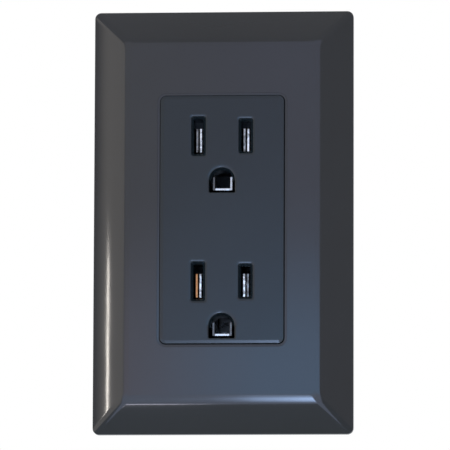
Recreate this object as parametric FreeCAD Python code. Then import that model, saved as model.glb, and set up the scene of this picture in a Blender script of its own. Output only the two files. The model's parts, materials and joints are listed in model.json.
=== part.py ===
# Duplex wall outlet with a snap-fit, screwless wall plate, in millimetres.
# The origin is the middle of the outlet on the wall's surface. +X is right, +Z is up and +Y
# goes into the wall, so the face looks towards -Y.
import FreeCAD, Part
import math
import os

from FreeCAD import Vector

# Wall plate: overall size, and the section of its sloping border
PLATE_WIDTH = 69.85
PLATE_HEIGHT = 114.3
PLATE_DEPTH = 7.6
PLATE_RIM = 2.2
PLATE_BEVEL = 8.75
PLATE_WALL = 1.7
PLATE_CORNER_RADIUS = 1.7
RIDGE_RADIUS = 5.5
RIM_RADIUS = 0.6
BEVEL_CROWN = 0.35
BEVEL_CROWN_RADIUS = 40.0
WINDOW_CLEARANCE = 0.15
COLLAR_WALL = 1.2
COLLAR_DEPTH = 2.4
TONGUE_WIDTH = 7.0
TONGUE_THICKNESS = 1.2
TONGUE_OFFSET = 35.0

# Frame that the wall plate snaps on to
FRAME_THICKNESS = 1.5
FRAME_INSET = 4.9
FRAME_WINDOW_CLEARANCE = 0.6
FRAME_CORNER_RADIUS = 3.0
FRAME_SCREW_OFFSET = 48.42
FRAME_SCREW_RADIUS = 1.6
FRAME_SCREW_HEAD_RADIUS = 3.0
FRAME_SCREW_HEAD_HEIGHT = 1.2
FRAME_SCREW_REACH = 4.0

# Face of the outlet
FACE_WIDTH = 33.3
FACE_HEIGHT = 66.9
FACE_PROUD = 0.8
FACE_WALL = 2.2
FACE_CORNER_RADIUS = 1.6
FACE_EDGE_RADIUS = 0.5
SKIRT_STEP = 1.25
SKIRT_DEPTH = 3.0

# Pattern of the slots and ground holes
OUTLET_PITCH = 39.2
SLOT_RISE = 2.9
GROUND_DROP = 9.1
SLOT_SPACING = 12.7
SLOT_WIDTH = 2.6
NEUTRAL_SLOT_HEIGHT = 9.4
HOT_SLOT_HEIGHT = 8.2
SLOT_CHAMFER = 0.55
GROUND_HOLE_RADIUS = 3.0
GROUND_CHAMFER = 0.5
GROUND_HOLE_DROP = 3.3

# Back body
BODY_WIDTH = 42.0
BODY_REAR = 24.0
BODY_CORNER_RADIUS = 2.0
CHAMBER_WALL = 0.95
CHAMBER_DEPTH = 13.2
CHAMBER_MARGIN = 1.3
GROUND_CHAMBER_DEPTH = 15.8

# Steel strap that wraps round the body
STRAP_THICKNESS = 1.2
STRAP_LENGTH = 106.4
STRAP_BAND_WIDTH = 20.0
STRAP_BACK_WIDTH = 14.0
STRAP_EAR_WIDTH = 36.0
STRAP_EAR_LENGTH = 8.0
STRAP_CORNER_RADIUS = 2.0
SCORE_WIDTH = 0.6
SCORE_DEPTH = 0.4
BOX_SCREW_OFFSET = 41.67
BOX_SLOT_LENGTH = 7.1
BOX_SLOT_WIDTH = 4.2

# Screws that hold the outlet to its box, each kept by a fibre washer
BOX_SCREW_RADIUS = 1.75
BOX_SCREW_NECK_RADIUS = 1.3
BOX_SCREW_REACH = 22.0
BOX_HEAD_RADIUS = 3.4
BOX_HEAD_HEIGHT = 2.0
RETAINER_SIZE = 9.0
RETAINER_THICKNESS = 0.8
RETAINER_STAND_OFF = 1.7

# Brass contact strips
STRIP_THICKNESS = 0.8
STRIP_FRONT = 5.0
STRIP_REAR = 15.0
STRIP_MARGIN = 0.8
LEAF_THICKNESS = 0.55
BLADE_GAP = 1.5
PINCH_GAP = 0.2
LEAF_FRONT_GAP = 0.4
LEAF_TIP_LENGTH = 1.2
LEAF_TIP_FLARE = 0.12
LEAF_BEND_LENGTH = 4.0
LEAF_ABOVE = 2.3
LEAF_BELOW = 4.1
ARM_REAR = 11.0
ARM_ABOVE = 1.9
ARM_BELOW = 3.5
TAB_REACH = 3.6
TAB_HEIGHT = 5.0
TAB_WINDOW = 2.0
TAB_CLEARANCE = 0.7
PIN_GAP = 4.1
PIN_REST_DROP = 1.85
PIN_LEAF_RISE = 1.2

# Terminals: screw, pressure plate and pocket
TERMINAL_OFFSET = 12.5
TERMINAL_Y = 10.5
TERMINAL_POCKET_DEPTH = 5.0
TERMINAL_POCKET_HEIGHT = 12.4
TERMINAL_SCREW_RADIUS = 2.0
TERMINAL_HEAD_RADIUS = 3.7
TERMINAL_HEAD_HEIGHT = 2.3
TERMINAL_SHANK = 5.7
CLAMP_THICKNESS = 1.0
CLAMP_WIDTH = 8.6
CLAMP_HEIGHT = 11.0
CLAMP_HOLE_CLEARANCE = 0.3
WIRE_HOLE_RADIUS = 1.4
WIRE_HOLE_OFFSET = 3.9

# Ground terminal on the strap's lug
GROUND_TERMINAL_Z = -31.0
GROUND_TERMINAL_Y = 11.0
GROUND_SHANK = 4.8
GROUND_CLAMP_HEIGHT = 7.2
GROUND_CLAMP_WIDTH = 9.0
LUG_WIDTH = 10.0
LUG_HEIGHT = 9.5
NOTCH_HEIGHT = 9.2

# Screws and rivets that hold the housing together
HOUSING_SCREW_X = 11.5
HOUSING_SCREW_INSET = 3.2
HOUSING_SCREW_RADIUS = 1.25
HOUSING_HEAD_RADIUS = 2.3
HOUSING_HEAD_HEIGHT = 1.8
HOUSING_SCREW_BITE = 6.0
RIVET_DROP = 6.5
RIVET_RISE = 16.7
RIVET_RADIUS = 1.2
RIVET_HEAD_RADIUS = 2.0
RIVET_HEAD_HEIGHT = 0.7

# Fits
SEAT_GAP = 0.1
MOVING_GAP = 0.3
THREAD_CLEARANCE = 0.05
CLAMP_REST_GAP = 0.15
HEAD_REST_GAP = 0.05
DRIVE_SLOT_WIDTH = 1.1
DRIVE_SLOT_SHARE = 0.45

# Places that follow from the sizes above
FACE_FRONT = -(PLATE_DEPTH + FACE_PROUD)
FACE_INNER = FACE_FRONT + FACE_WALL
EAR_FRONT = -STRAP_THICKNESS
FRAME_FRONT = EAR_FRONT - FRAME_THICKNESS
SKIRT_FRONT = EAR_FRONT + SEAT_GAP
BODY_HEIGHT = FACE_HEIGHT + 2 * SKIRT_STEP
BAND_INNER = BODY_HEIGHT / 2 + SEAT_GAP
BAND_OUTER = BAND_INNER + STRAP_THICKNESS
SIDE_X = BODY_WIDTH / 2 - TERMINAL_POCKET_DEPTH
CHAMBER_OUTER_X = SIDE_X + SEAT_GAP
LEAF_OUTER = BLADE_GAP / 2 + LEAF_THICKNESS
BLADE_CHAMBER_INNER_X = SLOT_SPACING / 2 - LEAF_OUTER - SEAT_GAP
GROUND_CHAMBER_X = BLADE_CHAMBER_INNER_X - CHAMBER_WALL
OUTLETS = (OUTLET_PITCH / 2, -OUTLET_PITCH / 2)
SLOT_PLACES = tuple(z + SLOT_RISE for z in OUTLETS)
GROUND_PLACES = tuple(z - GROUND_DROP for z in OUTLETS)
CHAMBER_TOP = SLOT_PLACES[0] + LEAF_ABOVE + CHAMBER_MARGIN
CHAMBER_FOOT = SLOT_PLACES[1] - LEAF_BELOW - CHAMBER_MARGIN
GROUND_CHAMBER_TOP = GROUND_PLACES[0] + GROUND_HOLE_RADIUS + CHAMBER_MARGIN
GROUND_CHAMBER_FOOT = GROUND_PLACES[1] - GROUND_HOLE_DROP - MOVING_GAP
TERMINAL_PLACES = (TERMINAL_OFFSET, -TERMINAL_OFFSET)
LUG_X = -SIDE_X - STRAP_THICKNESS
NOTCH_X = -SIDE_X + MOVING_GAP
HOUSING_SCREW_Z = BODY_HEIGHT / 2 - HOUSING_SCREW_INSET
RIVET_PLACES = (GROUND_PLACES[0] - RIVET_DROP, GROUND_PLACES[1] + RIVET_RISE)

BEYOND = 5.0  # how far a cutting tool runs past what it cuts


def box(x_range, y_range, z_range):
    """Block between two values along each axis, given in either order."""
    low = Vector(min(x_range), min(y_range), min(z_range))
    high = Vector(max(x_range), max(y_range), max(z_range))
    size = high - low
    return Part.makeBox(size.x, size.y, size.z, low)


def rod(radius, start, end):
    """Round bar between two points."""
    return Part.makeCylinder(radius, (end - start).Length, start, end - start)


def cone(start_radius, end_radius, start, end):
    """Tapered round bar between two points."""
    return Part.makeCone(start_radius, end_radius, (end - start).Length, start, end - start)


def rounded_wire(points, radii):
    """Closed wire through the points, with a tangent arc where a corner's radius is not 0."""
    starts, ends, arcs = [], [], []
    for index, corner in enumerate(points):
        back = (points[index - 1] - corner).normalize()
        ahead = (points[(index + 1) % len(points)] - corner).normalize()
        radius = radii[index]
        half = back.getAngle(ahead) / 2
        reach = radius / math.tan(half)
        centre = corner + (back + ahead).normalize() * (radius / math.sin(half))
        starts.append(corner + back * reach)
        ends.append(corner + ahead * reach)
        if radius > 0:
            middle = centre + (corner - centre).normalize() * radius
            arcs.append(Part.Arc(starts[-1], middle, ends[-1]).toShape())
        else:
            arcs.append(None)
    edges = []
    for index, arc in enumerate(arcs):
        if arc:
            edges.append(arc)
        edges.append(Part.LineSegment(ends[index], starts[(index + 1) % len(points)]).toShape())
    return Part.Wire(edges)


def prism(points, radii, travel):
    """Solid made by carrying a rounded outline along a vector."""
    return Part.Face(rounded_wire(points, radii)).extrude(travel)


def slab(width, height, radius, y_range, x=0.0, z=0.0):
    """Plate that faces the room, with rounded corners."""
    corners = [(-1, -1), (1, -1), (1, 1), (-1, 1)]
    points = [Vector(x + a * width / 2, y_range[0], z + b * height / 2) for a, b in corners]
    return prism(points, [radius] * len(points), Vector(0, y_range[1] - y_range[0], 0))


def rectangle_wire(width, height, x, y, z):
    corners = [(-1, -1), (1, -1), (1, 1), (-1, 1)]
    points = [Vector(x + a * width / 2, y, z + b * height / 2) for a, b in corners]
    return Part.makePolygon(points + points[:1])


def join(shapes):
    """One solid from shapes that meet."""
    return shapes[0].fuse(shapes[1:]).removeSplitter()


def bevel_prism(half, rim, run, depth, rear, crown, radii, along_z, reach):
    """Bar whose section has a sloping, slightly crowned border on both sides."""
    slope = math.atan2(depth - rim, run)
    belly = (half - run / 2 + crown * math.sin(slope), -(rim + depth) / 2 - crown * math.cos(slope))
    side = [(half, rear), (half, -rim), belly, (half - run, -depth)]
    side_radii = [0.0] + list(radii)
    if crown == 0:
        del side[2]
        del side_radii[2]
    section = side + [(-u, y) for u, y in reversed(side)]
    if along_z:
        points = [Vector(u, y, -reach) for u, y in section]
        travel = Vector(0, 0, 2 * reach)
    else:
        points = [Vector(-reach, y, u) for u, y in section]
        travel = Vector(2 * reach, 0, 0)
    return prism(points, side_radii + side_radii[::-1], travel)


def bevelled_block(width, height, rim, run, depth, rear, crown, radii):
    """Two crossed bars have the block in common, so its four slopes meet in mitres."""
    reach = (width + height) / 2
    upright = bevel_prism(width / 2, rim, run, depth, rear, crown, radii, True, reach)
    level = bevel_prism(height / 2, rim, run, depth, rear, crown, radii, False, reach)
    return upright.common(level)


def tongue_places():
    """Middle of each of the four snap tongues, as side and height."""
    return [(side, z) for side in (1, -1) for z in (TONGUE_OFFSET, -TONGUE_OFFSET)]


def tongue_x():
    """Outer face of the snap tongues."""
    return PLATE_WIDTH / 2 - FRAME_INSET - MOVING_GAP / 2


def wall_plate():
    radii = (RIM_RADIUS, BEVEL_CROWN_RADIUS, RIDGE_RADIUS)
    shell = bevelled_block(
        PLATE_WIDTH, PLATE_HEIGHT, PLATE_RIM, PLATE_BEVEL, PLATE_DEPTH, 0.0, BEVEL_CROWN, radii
    )
    shell = shell.common(
        slab(PLATE_WIDTH, PLATE_HEIGHT, PLATE_CORNER_RADIUS, (-PLATE_DEPTH - BEYOND, BEYOND))
    )
    # The hollow's slope lies one wall inside the outer slope, measured square to it.
    slope = math.atan2(PLATE_DEPTH - PLATE_RIM, PLATE_BEVEL)
    inner_rim = PLATE_RIM + PLATE_WALL * (math.tan(slope) - 1 / math.cos(slope))
    inner_depth = PLATE_DEPTH - PLATE_WALL
    inner_run = (inner_depth - inner_rim) / math.tan(slope)
    hollow = bevelled_block(
        PLATE_WIDTH - 2 * PLATE_WALL,
        PLATE_HEIGHT - 2 * PLATE_WALL,
        inner_rim,
        inner_run,
        inner_depth,
        BEYOND,
        0.0,
        (0.0, 0.0, 0.0),
    )
    width = FACE_WIDTH + 2 * WINDOW_CLEARANCE
    height = FACE_HEIGHT + 2 * WINDOW_CLEARANCE
    radius = FACE_CORNER_RADIUS + WINDOW_CLEARANCE
    collar = slab(
        width + 2 * COLLAR_WALL,
        height + 2 * COLLAR_WALL,
        radius + COLLAR_WALL,
        (-inner_depth, -inner_depth + COLLAR_DEPTH),
    )
    plate = shell.cut(hollow)
    tongues = []
    for side, z in tongue_places():
        outer = side * tongue_x()
        inner = outer - side * TONGUE_THICKNESS
        depth_range = (-inner_depth - PLATE_WALL / 2, -MOVING_GAP)
        tongue = box((outer, inner), depth_range, (z - TONGUE_WIDTH / 2, z + TONGUE_WIDTH / 2))
        tongues.append(tongue.common(shell))
    window = slab(width, height, radius, (-PLATE_DEPTH - BEYOND, BEYOND))
    return join([plate, collar] + tongues).cut(window)


def drive_slot(head_front, head_rear, radius, along_x, centre):
    """Screwdriver slot across a head whose front face lies at head_front."""
    depth = (head_rear - head_front) * DRIVE_SLOT_SHARE
    half = DRIVE_SLOT_WIDTH / 2
    outside = head_front - depth
    inside = head_front + depth
    if along_x:
        return box(
            (outside, inside),
            (centre.y - half, centre.y + half),
            (centre.z - radius - BEYOND, centre.z + radius + BEYOND),
        )
    return box(
        (centre.x - radius - BEYOND, centre.x + radius + BEYOND),
        (outside, inside),
        (centre.z - half, centre.z + half),
    )


def plate_frame():
    width = PLATE_WIDTH - 2 * FRAME_INSET
    height = PLATE_HEIGHT - 2 * FRAME_INSET
    frame = slab(width, height, FRAME_CORNER_RADIUS, (FRAME_FRONT, EAR_FRONT))
    cuts = [
        slab(
            FACE_WIDTH + 2 * FRAME_WINDOW_CLEARANCE,
            FACE_HEIGHT + 2 * FRAME_WINDOW_CLEARANCE,
            FACE_CORNER_RADIUS + FRAME_WINDOW_CLEARANCE,
            (FRAME_FRONT - BEYOND, BEYOND),
        )
    ]
    for side, z in tongue_places():
        inner = side * (tongue_x() - TONGUE_THICKNESS - MOVING_GAP)
        half = TONGUE_WIDTH / 2 + MOVING_GAP
        cuts.append(box((inner, side * width), (FRAME_FRONT - BEYOND, BEYOND), (z - half, z + half)))
    for end in (1, -1):
        z = end * BOX_SCREW_OFFSET
        front, rear = Vector(0, FRAME_FRONT - BEYOND, z), Vector(0, BEYOND, z)
        cuts.append(rod(BOX_HEAD_RADIUS + SKIRT_STEP / 2, front, rear))
        z = end * FRAME_SCREW_OFFSET
        front, rear = Vector(0, FRAME_FRONT, z), Vector(0, BEYOND, z)
        cuts.append(rod(FRAME_SCREW_RADIUS + THREAD_CLEARANCE, front, rear))
        seat = Vector(0, FRAME_FRONT + FRAME_SCREW_HEAD_HEIGHT, z)
        clear = THREAD_CLEARANCE
        cuts.append(
            cone(FRAME_SCREW_HEAD_RADIUS + clear, FRAME_SCREW_RADIUS + clear, front, seat)
        )
    return frame.cut(cuts)


def plate_frame_screws():
    screws = []
    for end in (1, -1):
        front = Vector(0, FRAME_FRONT, end * FRAME_SCREW_OFFSET)
        seat = front + Vector(0, FRAME_SCREW_HEAD_HEIGHT, 0)
        tip = Vector(0, FRAME_SCREW_REACH, front.z)
        head = cone(FRAME_SCREW_HEAD_RADIUS, FRAME_SCREW_RADIUS, front, seat)
        screw = join([head, rod(FRAME_SCREW_RADIUS, seat, tip)])
        slot = drive_slot(front.y, seat.y, FRAME_SCREW_HEAD_RADIUS, False, front)
        screws.append(screw.cut(slot))
    return Part.makeCompound(screws)


def blade_slot(x, z, height):
    """Slot through the face's front wall, with a chamfered mouth."""
    mouth = rectangle_wire(
        SLOT_WIDTH + 2 * SLOT_CHAMFER, height + 2 * SLOT_CHAMFER, x, FACE_FRONT, z
    )
    throat = rectangle_wire(SLOT_WIDTH, height, x, FACE_FRONT + SLOT_CHAMFER, z)
    funnel = Part.makeLoft([mouth, throat], True, True)
    half = SLOT_WIDTH / 2
    through = (FACE_FRONT - BEYOND, FACE_INNER + BEYOND)
    return [funnel, box((x - half, x + half), through, (z - height / 2, z + height / 2))]


def ground_hole(z):
    """Half-round hole over a square one, chamfered round its arc only."""
    front = Vector(0, FACE_FRONT, z)
    seat = front + Vector(0, GROUND_CHAMFER, 0)
    rear = Vector(0, FACE_INNER + BEYOND, z)
    wide = GROUND_HOLE_RADIUS + GROUND_CHAMFER
    return [
        rod(GROUND_HOLE_RADIUS, front, rear),
        cone(wide, GROUND_HOLE_RADIUS, front, seat),
        box((-wide, wide), (front.y - BEYOND, rear.y), (z - GROUND_HOLE_DROP, z)),
    ]


def housing_screw_places():
    """Axes of the four housing screws, as x and z."""
    signs = [(1, 1), (1, -1), (-1, 1), (-1, -1)]
    return [(side * HOUSING_SCREW_X, end * HOUSING_SCREW_Z) for side, end in signs]


def face_cover():
    nose = slab(FACE_WIDTH, FACE_HEIGHT, FACE_CORNER_RADIUS, (FACE_FRONT, SKIRT_DEPTH))
    rim = [edge for edge in nose.Edges if edge.BoundBox.YMax < FACE_FRONT + SEAT_GAP]
    nose = nose.makeFillet(FACE_EDGE_RADIUS, rim)
    skirt = slab(BODY_WIDTH, BODY_HEIGHT, BODY_CORNER_RADIUS, (SKIRT_FRONT, SKIRT_DEPTH))
    cover = join([nose, skirt])
    cuts = []
    rear = SKIRT_DEPTH + BEYOND
    side = SLOT_SPACING / 2
    leaf_wall = side + LEAF_OUTER + SEAT_GAP
    for slot_z, ground_z in zip(SLOT_PLACES, GROUND_PLACES):
        cuts += blade_slot(-side, slot_z, NEUTRAL_SLOT_HEIGHT)
        cuts += blade_slot(side, slot_z, HOT_SLOT_HEIGHT)
        cuts += ground_hole(ground_z)
        top = slot_z + NEUTRAL_SLOT_HEIGHT / 2 + SLOT_CHAMFER
        foot = slot_z - NEUTRAL_SLOT_HEIGHT / 2 - SLOT_CHAMFER
        for sign in (1, -1):
            x_range = (sign * BLADE_CHAMBER_INNER_X, sign * leaf_wall)
            cuts.append(box(x_range, (FACE_INNER, rear), (foot, top)))
        top = ground_z + GROUND_HOLE_RADIUS + GROUND_CHAMFER
        foot = ground_z - GROUND_HOLE_DROP - SEAT_GAP
        x_range = (-GROUND_CHAMBER_X, GROUND_CHAMBER_X)
        cuts.append(box(x_range, (FACE_INNER, rear), (foot, top)))
    for x, z in housing_screw_places():
        end = Vector(x, SKIRT_DEPTH - HOUSING_SCREW_BITE - SEAT_GAP, z)
        cuts.append(rod(HOUSING_SCREW_RADIUS + THREAD_CLEARANCE, Vector(x, rear, z), end))
    return cover.cut(cuts)


def wire_hole_places():
    """Axes of the eight rear wire holes, as x and z."""
    x = SIDE_X + WIRE_HOLE_RADIUS - 2 * SEAT_GAP
    spots = []
    for side in (1, -1):
        for z in TERMINAL_PLACES:
            spots += [(side * x, z + WIRE_HOLE_OFFSET), (side * x, z - WIRE_HOLE_OFFSET)]
    return spots


def back_body():
    body = slab(BODY_WIDTH, BODY_HEIGHT, BODY_CORNER_RADIUS, (SKIRT_DEPTH, BODY_REAR))
    outside = BODY_WIDTH / 2 + BEYOND
    front = SKIRT_DEPTH - BEYOND
    rear = BODY_REAR + BEYOND
    cuts = [
        box(
            (-GROUND_CHAMBER_X, GROUND_CHAMBER_X),
            (front, GROUND_CHAMBER_DEPTH),
            (GROUND_CHAMBER_FOOT, GROUND_CHAMBER_TOP),
        )
    ]
    pocket_half = CLAMP_WIDTH / 2 + MOVING_GAP
    pocket_y = (TERMINAL_Y - pocket_half, TERMINAL_Y + pocket_half)
    for side in (1, -1):
        x_range = (side * BLADE_CHAMBER_INNER_X, side * CHAMBER_OUTER_X)
        cuts.append(box(x_range, (front, CHAMBER_DEPTH), (CHAMBER_FOOT, CHAMBER_TOP)))
        # The side plate stands deeper than the chamber, in a groove of its own.
        x_range = (side * (SIDE_X - STRIP_THICKNESS - SEAT_GAP), side * CHAMBER_OUTER_X)
        cuts.append(box(x_range, (front, STRIP_REAR + SEAT_GAP), (CHAMBER_FOOT, CHAMBER_TOP)))
        for z in TERMINAL_PLACES:
            z_range = (z - TERMINAL_POCKET_HEIGHT / 2, z + TERMINAL_POCKET_HEIGHT / 2)
            cuts.append(box((side * SIDE_X, side * outside), pocket_y, z_range))
        half = TAB_HEIGHT / 2 + TAB_CLEARANCE
        tab_half = STRIP_THICKNESS / 2 + TAB_CLEARANCE
        y_range = (TERMINAL_Y - tab_half, TERMINAL_Y + tab_half)
        cuts.append(box((side * SIDE_X, side * outside), y_range, (-half, half)))
    for x, z in wire_hole_places():
        cuts.append(rod(WIRE_HOLE_RADIUS, Vector(x, TERMINAL_Y, z), Vector(x, rear, z)))
    for x, z in housing_screw_places():
        cuts.append(
            rod(HOUSING_SCREW_RADIUS + MOVING_GAP, Vector(x, front, z), Vector(x, rear, z))
        )
        seat = Vector(x, BODY_REAR - HOUSING_HEAD_HEIGHT - SEAT_GAP, z)
        cuts.append(rod(HOUSING_HEAD_RADIUS + MOVING_GAP, seat, Vector(x, rear, z)))
    for z in RIVET_PLACES:
        cuts.append(rod(RIVET_RADIUS + THREAD_CLEARANCE, Vector(0, front, z), Vector(0, rear, z)))
    # Corner notch for the ground terminal, with a bore for the tip of its screw
    foot = -BODY_HEIGHT / 2
    notch_y = (SKIRT_DEPTH + STRAP_THICKNESS, rear)
    cuts.append(box((NOTCH_X, -outside), notch_y, (foot - BEYOND, foot + NOTCH_HEIGHT)))
    axis_start = Vector(-outside, GROUND_TERMINAL_Y, GROUND_TERMINAL_Z)
    tip_x = LUG_X - CLAMP_REST_GAP - CLAMP_THICKNESS - HEAD_REST_GAP + GROUND_SHANK
    axis_end = Vector(tip_x + MOVING_GAP, GROUND_TERMINAL_Y, GROUND_TERMINAL_Z)
    cuts.append(rod(TERMINAL_SCREW_RADIUS + MOVING_GAP, axis_start, axis_end))
    return body.cut(cuts)


def mounting_strap():
    half_band = STRAP_BAND_WIDTH / 2
    half_back = STRAP_BACK_WIDTH / 2
    back_y = (BODY_REAR, BODY_REAR + STRAP_THICKNESS)
    pieces = [box((-half_back, half_back), back_y, (-BAND_OUTER, BAND_OUTER))]
    ear_end = STRAP_LENGTH / 2
    cuts = []
    for end in (1, -1):
        band_z = (end * BAND_INNER, end * BAND_OUTER)
        pieces.append(box((-half_band, half_band), (EAR_FRONT, back_y[1]), band_z))
        length = ear_end - BAND_INNER
        middle = end * (ear_end + BAND_INNER) / 2
        pieces.append(
            slab(STRAP_BAND_WIDTH, length, STRAP_CORNER_RADIUS, (EAR_FRONT, 0.0), 0.0, middle)
        )
        pieces.append(box((-half_band, half_band), (EAR_FRONT, 0.0), (end * BAND_INNER, middle)))
        wing = end * (BOX_SCREW_OFFSET + FRAME_SCREW_OFFSET) / 2
        ear_y = (EAR_FRONT, 0.0)
        pieces.append(
            slab(STRAP_EAR_WIDTH, STRAP_EAR_LENGTH, STRAP_CORNER_RADIUS, ear_y, 0.0, wing)
        )
        for side in (1, -1):
            groove = (side * half_band, side * (half_band + SCORE_WIDTH))
            depth = (EAR_FRONT - BEYOND, EAR_FRONT + SCORE_DEPTH)
            cuts.append(box(groove, depth, (wing - STRAP_EAR_LENGTH, wing + STRAP_EAR_LENGTH)))
        hole_z = end * FRAME_SCREW_OFFSET
        tapped = FRAME_SCREW_RADIUS + THREAD_CLEARANCE
        cuts.append(rod(tapped, Vector(0, EAR_FRONT - BEYOND, hole_z), Vector(0, BEYOND, hole_z)))
        cuts.append(
            slab(
                BOX_SLOT_LENGTH,
                BOX_SLOT_WIDTH,
                BOX_SLOT_WIDTH / 2 - SEAT_GAP,
                (EAR_FRONT - BEYOND, BEYOND),
                0.0,
                end * BOX_SCREW_OFFSET,
            )
        )
    # Ground lug: a foot beside the lower band, turned up to carry the ground screw
    lug_y = (GROUND_TERMINAL_Y - LUG_WIDTH / 2, GROUND_TERMINAL_Y + LUG_WIDTH / 2)
    pieces.append(box((LUG_X, -half_back), lug_y, (-BAND_OUTER, -BAND_INNER)))
    pieces.append(box((LUG_X, -SIDE_X), lug_y, (-BAND_OUTER, -BAND_OUTER + LUG_HEIGHT)))
    for z in RIVET_PLACES:
        reach = (Vector(0, BODY_REAR - BEYOND, z), Vector(0, BODY_REAR + BEYOND, z))
        cuts.append(rod(RIVET_RADIUS + THREAD_CLEARANCE, *reach))
    axis = (
        Vector(LUG_X - BEYOND, GROUND_TERMINAL_Y, GROUND_TERMINAL_Z),
        Vector(NOTCH_X + BEYOND, GROUND_TERMINAL_Y, GROUND_TERMINAL_Z),
    )
    cuts.append(rod(TERMINAL_SCREW_RADIUS + THREAD_CLEARANCE, *axis))
    return join(pieces).cut(cuts)


def contact_leaf(centre_x, outward, z_range):
    """Spring leaf beside a blade: it closes in towards its fellow, then flares at the tip."""
    tip = FACE_INNER + LEAF_FRONT_GAP
    pinch = tip + LEAF_TIP_LENGTH
    bend = pinch + LEAF_BEND_LENGTH
    inner = [
        (BLADE_GAP / 2, ARM_REAR),
        (BLADE_GAP / 2, bend),
        (PINCH_GAP / 2, pinch),
        (PINCH_GAP / 2 + LEAF_TIP_FLARE, tip),
    ]
    outer = [(x + LEAF_THICKNESS, y) for x, y in reversed(inner)]
    points = [Vector(centre_x + outward * x, y, z_range[0]) for x, y in inner + outer]
    return prism(points, [0.0] * len(points), Vector(0, 0, z_range[1] - z_range[0]))


def blade_strip(side):
    """Side plate with its two screw holes, break-off tab and a clip for each blade."""
    outer = side * SIDE_X
    inner = side * (SIDE_X - STRIP_THICKNESS)
    top = SLOT_PLACES[0] + LEAF_ABOVE + STRIP_MARGIN
    foot = SLOT_PLACES[1] - LEAF_BELOW - STRIP_MARGIN
    pieces = [box((inner, outer), (STRIP_FRONT, STRIP_REAR), (foot, top))]
    centre = side * SLOT_SPACING / 2
    for slot_z in SLOT_PLACES:
        z_range = (slot_z - LEAF_BELOW, slot_z + LEAF_ABOVE)
        for outward in (1, -1):
            pieces.append(contact_leaf(centre, outward, z_range))
        near = centre - side * LEAF_OUTER
        arm_y = (ARM_REAR - STRIP_THICKNESS, ARM_REAR)
        pieces.append(box((near, outer), arm_y, (slot_z - ARM_BELOW, slot_z + ARM_ABOVE)))
    tab_y = (TERMINAL_Y - STRIP_THICKNESS / 2, TERMINAL_Y + STRIP_THICKNESS / 2)
    tab_end = side * (SIDE_X + TAB_REACH)
    pieces.append(box((inner, tab_end), tab_y, (-TAB_HEIGHT / 2, TAB_HEIGHT / 2)))
    cuts = []
    for z in TERMINAL_PLACES:
        start = Vector(inner - side * BEYOND, TERMINAL_Y, z)
        end = Vector(outer + side * BEYOND, TERMINAL_Y, z)
        cuts.append(rod(TERMINAL_SCREW_RADIUS + THREAD_CLEARANCE, start, end))
    # The tab joins the two halves by narrow necks above and below its window.
    half = TAB_WINDOW / 2
    for y in (STRIP_FRONT, STRIP_REAR):
        outward = 1 if y == STRIP_REAR else -1
        near = TERMINAL_Y + outward * TAB_WINDOW
        cuts.append(box((inner - side, outer + side), (near, y + outward), (-half, half)))
    return join(pieces).cut(cuts)


def ground_strip():
    """Flat strip at the back of the middle chamber, with a channel-shaped clip for each pin."""
    half_gap = PIN_GAP / 2
    half = half_gap + LEAF_THICKNESS
    rear = GROUND_CHAMBER_DEPTH
    front = rear - STRIP_THICKNESS
    tip = FACE_INNER + LEAF_FRONT_GAP
    top = GROUND_PLACES[0] + PIN_LEAF_RISE
    foot = GROUND_PLACES[1] - PIN_REST_DROP - LEAF_THICKNESS
    pieces = [box((-half, half), (front, rear), (foot, top))]
    for z in GROUND_PLACES:
        rest = z - PIN_REST_DROP
        pieces.append(box((-half, half), (tip, rear), (rest - LEAF_THICKNESS, rest)))
        for side in (1, -1):
            x_range = (side * half_gap, side * half)
            z_range = (rest - LEAF_THICKNESS, z + PIN_LEAF_RISE)
            pieces.append(box(x_range, (tip, rear), z_range))
    cuts = []
    for z in RIVET_PLACES:
        reach = (Vector(0, front - BEYOND, z), Vector(0, rear + BEYOND, z))
        cuts.append(rod(RIVET_RADIUS + THREAD_CLEARANCE, *reach))
    return join(pieces).cut(cuts)


def ground_rivets():
    """Rivets through the ground strip, the body and the strap's back band."""
    front = GROUND_CHAMBER_DEPTH - STRIP_THICKNESS
    rear = BODY_REAR + STRAP_THICKNESS
    rivets = []
    for z in RIVET_PLACES:
        head = rod(RIVET_HEAD_RADIUS, Vector(0, front - RIVET_HEAD_HEIGHT, z), Vector(0, front, z))
        tail = rod(RIVET_HEAD_RADIUS, Vector(0, rear, z), Vector(0, rear + RIVET_HEAD_HEIGHT, z))
        shank = rod(RIVET_RADIUS, Vector(0, front, z), Vector(0, rear, z))
        rivets.append(join([head, shank, tail]))
    return Part.makeCompound(rivets)


def housing_screws():
    """Four screws from behind that pull the back body on to the face."""
    screws = []
    for x, z in housing_screw_places():
        front = Vector(x, BODY_REAR, z)
        seat = Vector(x, BODY_REAR - HOUSING_HEAD_HEIGHT, z)
        tip = Vector(x, SKIRT_DEPTH - HOUSING_SCREW_BITE, z)
        screw = join([rod(HOUSING_HEAD_RADIUS, seat, front), rod(HOUSING_SCREW_RADIUS, tip, seat)])
        screws.append(screw.cut(drive_slot(front.y, seat.y, HOUSING_HEAD_RADIUS, False, front)))
    return Part.makeCompound(screws)


def box_screw(z):
    """Screw that holds one end of the strap to the wall box, necked where its washer sits."""
    front = Vector(0, EAR_FRONT - BOX_HEAD_HEIGHT, z)
    seat = Vector(0, EAR_FRONT, z)
    shoulder = Vector(0, RETAINER_STAND_OFF + RETAINER_THICKNESS + SEAT_GAP, z)
    tip = Vector(0, BOX_SCREW_REACH, z)
    head = rod(BOX_HEAD_RADIUS, front, seat)
    neck = rod(BOX_SCREW_NECK_RADIUS, seat, shoulder)
    screw = join([head, neck, rod(BOX_SCREW_RADIUS, shoulder, tip)])
    return screw.cut(drive_slot(front.y, seat.y, BOX_HEAD_RADIUS, False, front))


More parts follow.
